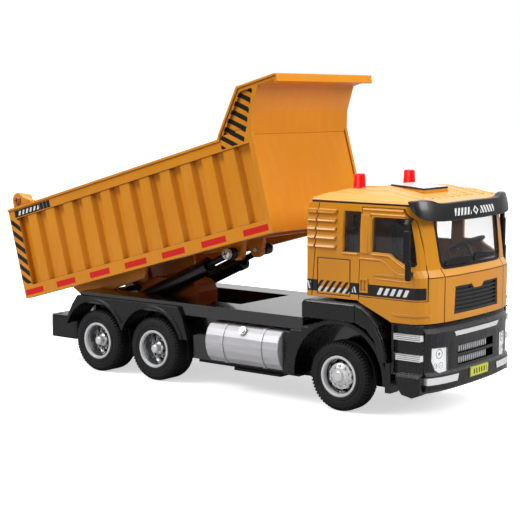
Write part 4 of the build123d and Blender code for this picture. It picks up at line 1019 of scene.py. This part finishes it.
# ---------------------------------------------------------------- mouldings on the cab
# each bead: path, width, height; side paths are (x, z)
DOOR_BEADS = (
    (((129.3, 55.5), (137.7, 55.4), (139.6, 54.6), (142.2, 52.4), (144.4, 51.1), (148.9, 50.9)),
     0.85, 0.42),
    (((134.0, 57.15), (141.2, 57.0), (142.6, 55.9), (147.2, 53.25), (149.9, 52.85)), 0.7, 0.62),
    (((130.2, 72.15), (146.2, 72.05)), 0.75, 0.4),
    (((133.6, 70.65), (147.0, 70.55)), 0.85, 0.62),
    (((131.3, 57.3), (131.3, 70.3)), 3.4, 0.62),
    (((133.65, 57.6), (133.65, 69.6)), 0.55, 0.5),
    (((136.0, 49.0), (148.9, 48.7)), 0.55, 0.22),
)
CAB_SIDE_BEADS = (
    (((108.9, 74.95), (149.2, 74.75)), 1.15, 0.42),
    (((122.2, 56.8), (128.4, 56.75)), 0.75, 0.5),
    (((122.15, 57.2), (122.15, 70.9)), 0.55, 0.3),
)
# x from, x to, y of the left-hand roof rib, width, height
ROOF_RIBS = (
    (110.8, 148.2, 26.0, 1.5, 0.3), (111.5, 147.6, 20.6, 1.0, 0.34),
    (111.5, 147.0, 13.4, 1.0, 0.34), (143.2, 147.2, 9.2, 0.9, 0.3),
    (143.2, 147.2, 4.6, 0.9, 0.3),
)
# path (y, z) up the sides and along the foot of the windscreen
GASKET_BEADS = (
    (((-21.5, 69.4), (-20.35, 55.2), (-19.8, 53.6), (-18.4, 52.95),
      (18.4, 52.95), (19.8, 53.6), (20.35, 55.2), (21.5, 69.4)), 1.0, 0.3),
)
LOUVRES, LOUVRE_TOP_Z, LOUVRE_PITCH = 5, 71.5, 3.0
# lift off the side, height above the louvre's line
LOUVRE_SECTION = ((-0.15, 0.2), (0.14, 0.05), (0.86, -0.9), (0.92, -1.08),
                  (0.86, -1.26), (0.25, -1.44), (-0.15, -1.44))


def beads(name, specs, material, body, place):
    shape = Shape()
    for path, width, height in specs:
        shape.bead(path, width, height, place)
    shape.build(name, material, body, sharp=60)


def louvres(name, side):
    """Wedges open at the foot, in two runs either side of a slanted joint."""
    shape = Shape()
    for i in range(LOUVRES):
        z = LOUVRE_TOP_Z - LOUVRE_PITCH * i
        joint = 109.2 + (z - 41.7) * 0.0798
        end = 119.5
        # x, share of the full lift; the front run tapers at its front end
        rear_run = ((107.75, 1.0), (joint - 0.15, 1.0))
        front_run = ((joint + 0.5, 1.0), (end - 0.9, 1.0), (end - 0.25, 0.75), (end, 0.15))
        for run in (rear_run, front_run):
            shape.loft([[point(x, side * (side_y(z) + (lift * share if lift > 0 else lift)),
                               z + rise)
                         for lift, rise in LOUVRE_SECTION] for x, share in run])
    shape.build(name, "cab", "chassis")


for side, hand in ((-1, "right"), (1, "left")):
    beads("door_mouldings_" + hand, DOOR_BEADS,
          "cab", "door_" + hand, on_side(side))
    beads("cab_side_mouldings_" + hand, CAB_SIDE_BEADS,
          "cab", "chassis", on_side(side))
    louvres("cab_louvres_" + hand, side)

roof_beads = [(((x0, y * side), (x1, y * side)), width, height)
              for side in (-1, 1) for x0, x1, y, width, height in ROOF_RIBS]
roof_beads.append((((143.2, 0.0), (147.2, 0.0)), 0.9, 0.3))
beads("roof_ribs", roof_beads, "cab", "chassis", on_roof)
beads("windscreen_gasket", GASKET_BEADS, "satin", "chassis", on_front)

# ---------------------------------------------------------------- bars in the two air intakes
INTAKES_Z = ((23.35, 25.85), (19.45, 21.95))
UPRIGHT_FIRST_Y, UPRIGHT_LAST_Y, UPRIGHT_PITCH = -11.6, 8.4, 1.4
RAIL_Y = (-12.3, -6.0, 0.0, 6.0, 9.2)
RAIL_INSET = 1.45


def intake_mesh():
    shape = Shape()
    for bottom, top in INTAKES_Z:
        y = UPRIGHT_FIRST_Y
        while y <= UPRIGHT_LAST_Y:
            x = nose_x(y) - LAMP_SHELL - 0.95
            shape.bar((x, y, bottom), (x, y, top - 0.15),
                      half_width=0.36, half_depth=0.28, depth_axis=(1, 0, 0))
            y += UPRIGHT_PITCH
        for begin, end in zip(RAIL_Y, RAIL_Y[1:]):
            shape.bar((nose_x(begin) - RAIL_INSET, begin, top - 0.35),
                      (nose_x(end) - RAIL_INSET, end, top - 0.35),
                      half_width=0.22, half_depth=0.2, depth_axis=(0, 0, 1))
    shape.build("intake_mesh", "silver", "chassis")


intake_mesh()

# ---------------------------------------------------------------- lamps behind the clear lenses
TRAY_INSET = 0.00062        # metres behind the lens
# share of the lamp's radius, distance forward; a pinhole closes the middle
LAMP_BOWL = ((1.12, 0.0), (1.12, 0.32), (0.98, 0.42), (0.9, 0.3),
             (0.8, 0.08), (0.55, 0.22), (0.3, 0.34))
LAMP_CENTRE = (0.02, 0.38)
# y, z, radius on the left side
LAMPS = {
    "bulb": ((21.9, 24.2, 1.5),),
    "bulb_dark": ((21.1, 20.2, 0.95), (23.7, 20.3, 0.75)),
}


def headlamp_trays():
    """The lens surface again, set back."""
    lens = NODES["headlamp_lenses"].data
    shape = Shape()
    for vert in lens.vertices:
        side = 1 if vert.co.y * 1000 > 0 else -1
        outward = Vector((1.0, 0.42 * side, 0.0)).normalized()
        shape.verts.append(vert.co - outward * TRAY_INSET)
    shape.faces = [tuple(polygon.vertices) for polygon in lens.polygons]
    shape.build("headlamp_trays", "tray", "chassis")


def headlamps(material):
    shape = Shape()
    for side in (-1, 1):
        for lamp_y, lamp_z, lamp_radius in LAMPS[material]:
            lamp_x = nose_x(lamp_y) - LAMP_SHELL - 0.75
            turn = Matrix.Rotation(side * (0.32 if lamp_y > 22 else 0.2), 3, "Z")

            def place(radius, forward, angle):
                offset = turn @ Vector((forward, radius * math.cos(angle),
                                        radius * math.sin(angle)))
                return point(lamp_x + offset.x, side * lamp_y + offset.y, lamp_z + offset.z)

            profile = [(lamp_radius * share, forward) for share, forward in LAMP_BOWL]
            shape.revolve(profile + [LAMP_CENTRE], 24, place)
    shape.build("headlamp_" + material, material, "chassis", sharp=40)


headlamp_trays()
headlamps("bulb")
headlamps("bulb_dark")

# ---------------------------------------------------------------- ram screws
SCREW_BED_X, SCREW_BED_Z = 96.5, -2.0       # in the bed frame
SCREW_X = BED_X + SCREW_BED_X * BED_COS - SCREW_BED_Z * BED_SIN
SCREW_Z = BED_Z + SCREW_BED_X * BED_SIN + SCREW_BED_Z * BED_COS
# radius, y of the domed head
SCREW_HEAD = ((0.02, 14.4), (1.1, 14.38), (1.75, 14.1), (2.15, 13.6),
              (2.2, 13.2), (2.2, 12.7), (1.15, 12.62))
THREAD_START_Y, THREAD_END_Y, THREAD_PITCH = 12.4, 4.4, 0.4
SCREW_TIP = ((0.9, 4.2), (0.02, 4.2))


def ram_screws():
    """Domed screws with ridged shanks, one on each side."""
    profile = list(SCREW_HEAD)
    y = THREAD_START_Y
    while y > THREAD_END_Y:
        profile += [(1.1, y), (0.92, y - THREAD_PITCH / 2)]
        y -= THREAD_PITCH
    profile += SCREW_TIP
    shape = Shape()
    for side in (-1, 1):
        shape.revolve(profile, 28, lambda radius, along, angle: point(
            SCREW_X + radius * math.cos(angle), side * along,
            SCREW_Z + radius * math.sin(angle)))
    obj = shape.build("ram_screws_threaded", "trim", "bed", sharp=38)
    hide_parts("ram_screws")


def ram_screw_recess_shade():
    """The cross recess, shown as two dark bars of painted shade on each head."""
    shape = Shape()
    for side in (-1, 1):
        for degrees in (20, 110):
            angle = math.radians(degrees)
            reach = Vector((math.cos(angle), 0, math.sin(angle))) * 1.25
            centre = Vector((SCREW_X, side * 14.36, SCREW_Z))
            shape.bar(centre - reach, centre + reach,
                      half_width=0.24, half_depth=0.09, depth_axis=(0, 1, 0))
    shape.build("ram_screw_recess_shade", "satin", "bed")


ram_screws()
ram_screw_recess_shade()

# ---------------------------------------------------------------- spring under the roof button
SPRING_X = 132.5
SPRING_FOOT_Z, SPRING_RISE = 72.45, 4.2
SPRING_RADIUS, WIRE_RADIUS = 2.4, 0.22
TURNS, STEPS_PER_TURN, WIRE_SEGMENTS = 3.5, 26, 10


def button_spring():
    """Wound wire with flat cut ends."""
    steps = int(TURNS * STEPS_PER_TURN)
    rings = []
    for i in range(steps + 1):
        turn = 2 * math.pi * i / STEPS_PER_TURN
        centre = Vector((SPRING_X, 0, SPRING_FOOT_Z + SPRING_RISE * i / steps))
        outward = Vector((math.cos(turn), math.sin(turn), 0))
        ring = []
        for j in range(WIRE_SEGMENTS):
            angle = 2 * math.pi * j / WIRE_SEGMENTS
            ring.append(point(*(centre + outward * (SPRING_RADIUS + WIRE_RADIUS * math.cos(angle))
                                + Vector((0, 0, WIRE_RADIUS * math.sin(angle))))))
        rings.append(ring)
    shape = Shape()
    shape.loft(rings)
    obj = shape.build("button_spring_wound", "steel", "chassis", sharp=50)
    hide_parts("button_spring")
    tuple(point(SPRING_X, 0, 72.2))
    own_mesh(obj)


button_spring()

# ---------------------------------------------------------------- floor and surroundings (metres)
FLOOR_HALF = 4


def floor_pale():
    """Looks even and pale to the camera, and bounces a little more light onto the toy."""
    mat = Surface("floor_pale")
    camera_ray = mat.output("ShaderNodeLightPath", "Is Camera Ray")
    pale = mat.mix((0.90, 0.90, 0.90, 1), (0.92, 0.92, 0.92, 1),
                   mat.noise(scale=0.02, detail=2.0).remap(0.3, 0.7))
    mat.set(colour=mat.mix((0.34, 0.34, 0.34, 1.0), pale, camera_ray), rough=0.8, spec=0.1)
    emission = mat.node("ShaderNodeEmission")
    mat.put(emission.inputs[1], camera_ray * 0.60)
    total = mat.node("ShaderNodeAddShader")
    mat.link(mat.principled.outputs[0], total.inputs[0])
    mat.link(emission.outputs[0], total.inputs[1])
    mat.link(total.outputs[0], mat.end.inputs[0])
    return mat.material


def floor():
    mesh = bpy.data.meshes.new("floor")
    corners = ((-1, -1), (1, -1), (1, 1), (-1, 1))
    mesh.from_pydata([(x * FLOOR_HALF, y * FLOOR_HALF, 0) for x, y in corners],
                     [], [(0, 1, 2, 3)])
    obj = bpy.data.objects.new("floor", mesh)
    scene.collection.objects.link(obj)
    mesh.materials.append(floor_pale())


def studio_world():
    """White to the camera; it lights the toy from behind and above."""
    world = bpy.data.worlds.new("studio")
    scene.world = world
    world.use_nodes = True
    graph = Graph(world.node_tree)
    end = graph.node("ShaderNodeOutputWorld")
    background = graph.node("ShaderNodeBackground")
    x, y, z = graph.split(graph.output("ShaderNodeTexCoord", "Generated"))
    toward_camera = x * 0.61 + y * -0.79
    behind = (-0.42 - toward_camera).math("MULTIPLY", 3.0, clamp=True)
    above = (z - 0.30).math("MULTIPLY", 2.4, clamp=True)
    level = (behind | above) * 0.62 + 0.09
    camera_ray = graph.output("ShaderNodeLightPath", "Is Camera Ray")
    graph.put(background.inputs[1], level | camera_ray)
    background.inputs[0].default_value = (1.0, 1.0, 1.0, 1)
    graph.link(background.outputs[0], end.inputs[0])


floor()
studio_world()


# ---------------------------------------------------------------- lights and camera
def aim(obj, location, target):
    """Places the object and points its -Z at the target."""
    obj.location = location
    direction = Vector(target) - Vector(location)
    obj.rotation_euler = direction.to_track_quat("-Z", "Y").to_euler()


def area_light(name, location, target, size, power, size_y=None):
    """Sizes in metres, power in watts."""
    light = bpy.data.lights.new(name, "AREA")
    light.energy = power
    light.size = size
    if size_y:
        light.shape = "RECTANGLE"
        light.size_y = size_y
    obj = bpy.data.objects.new(name, light)
    scene.collection.objects.link(obj)
    aim(obj, location, target)


area_light("key", location=(-0.45, -0.60, 0.70), target=(0.02, 0, 0.04), size=0.42, power=4.9)
area_light("front", location=(0.80, 0.16, 0.50), target=(0.05, 0, 0.06), size=0.38, power=4.6)
area_light("top", location=(0.05, 0.05, 0.85), target=(0, 0, 0), size=0.5, power=4.6)
area_light("low_fill", location=(0.10, -0.80, 0.12), target=(0.02, 0, 0.04),
           size=0.5, power=0.45, size_y=0.16)

camera_data = bpy.data.cameras.new("cam")
camera_data.sensor_width = 36.0
camera_data.lens = 94.53
camera_data.clip_start = 0.02
camera = bpy.data.objects.new("cam", camera_data)
scene.collection.objects.link(camera)
aim(camera, location=point(384.0, -415.1, 108.6), target=point(62.27, 0.0, 47.23))
scene.camera = camera
scene.view_settings.view_transform = "Standard"
scene.view_settings.look = "None"
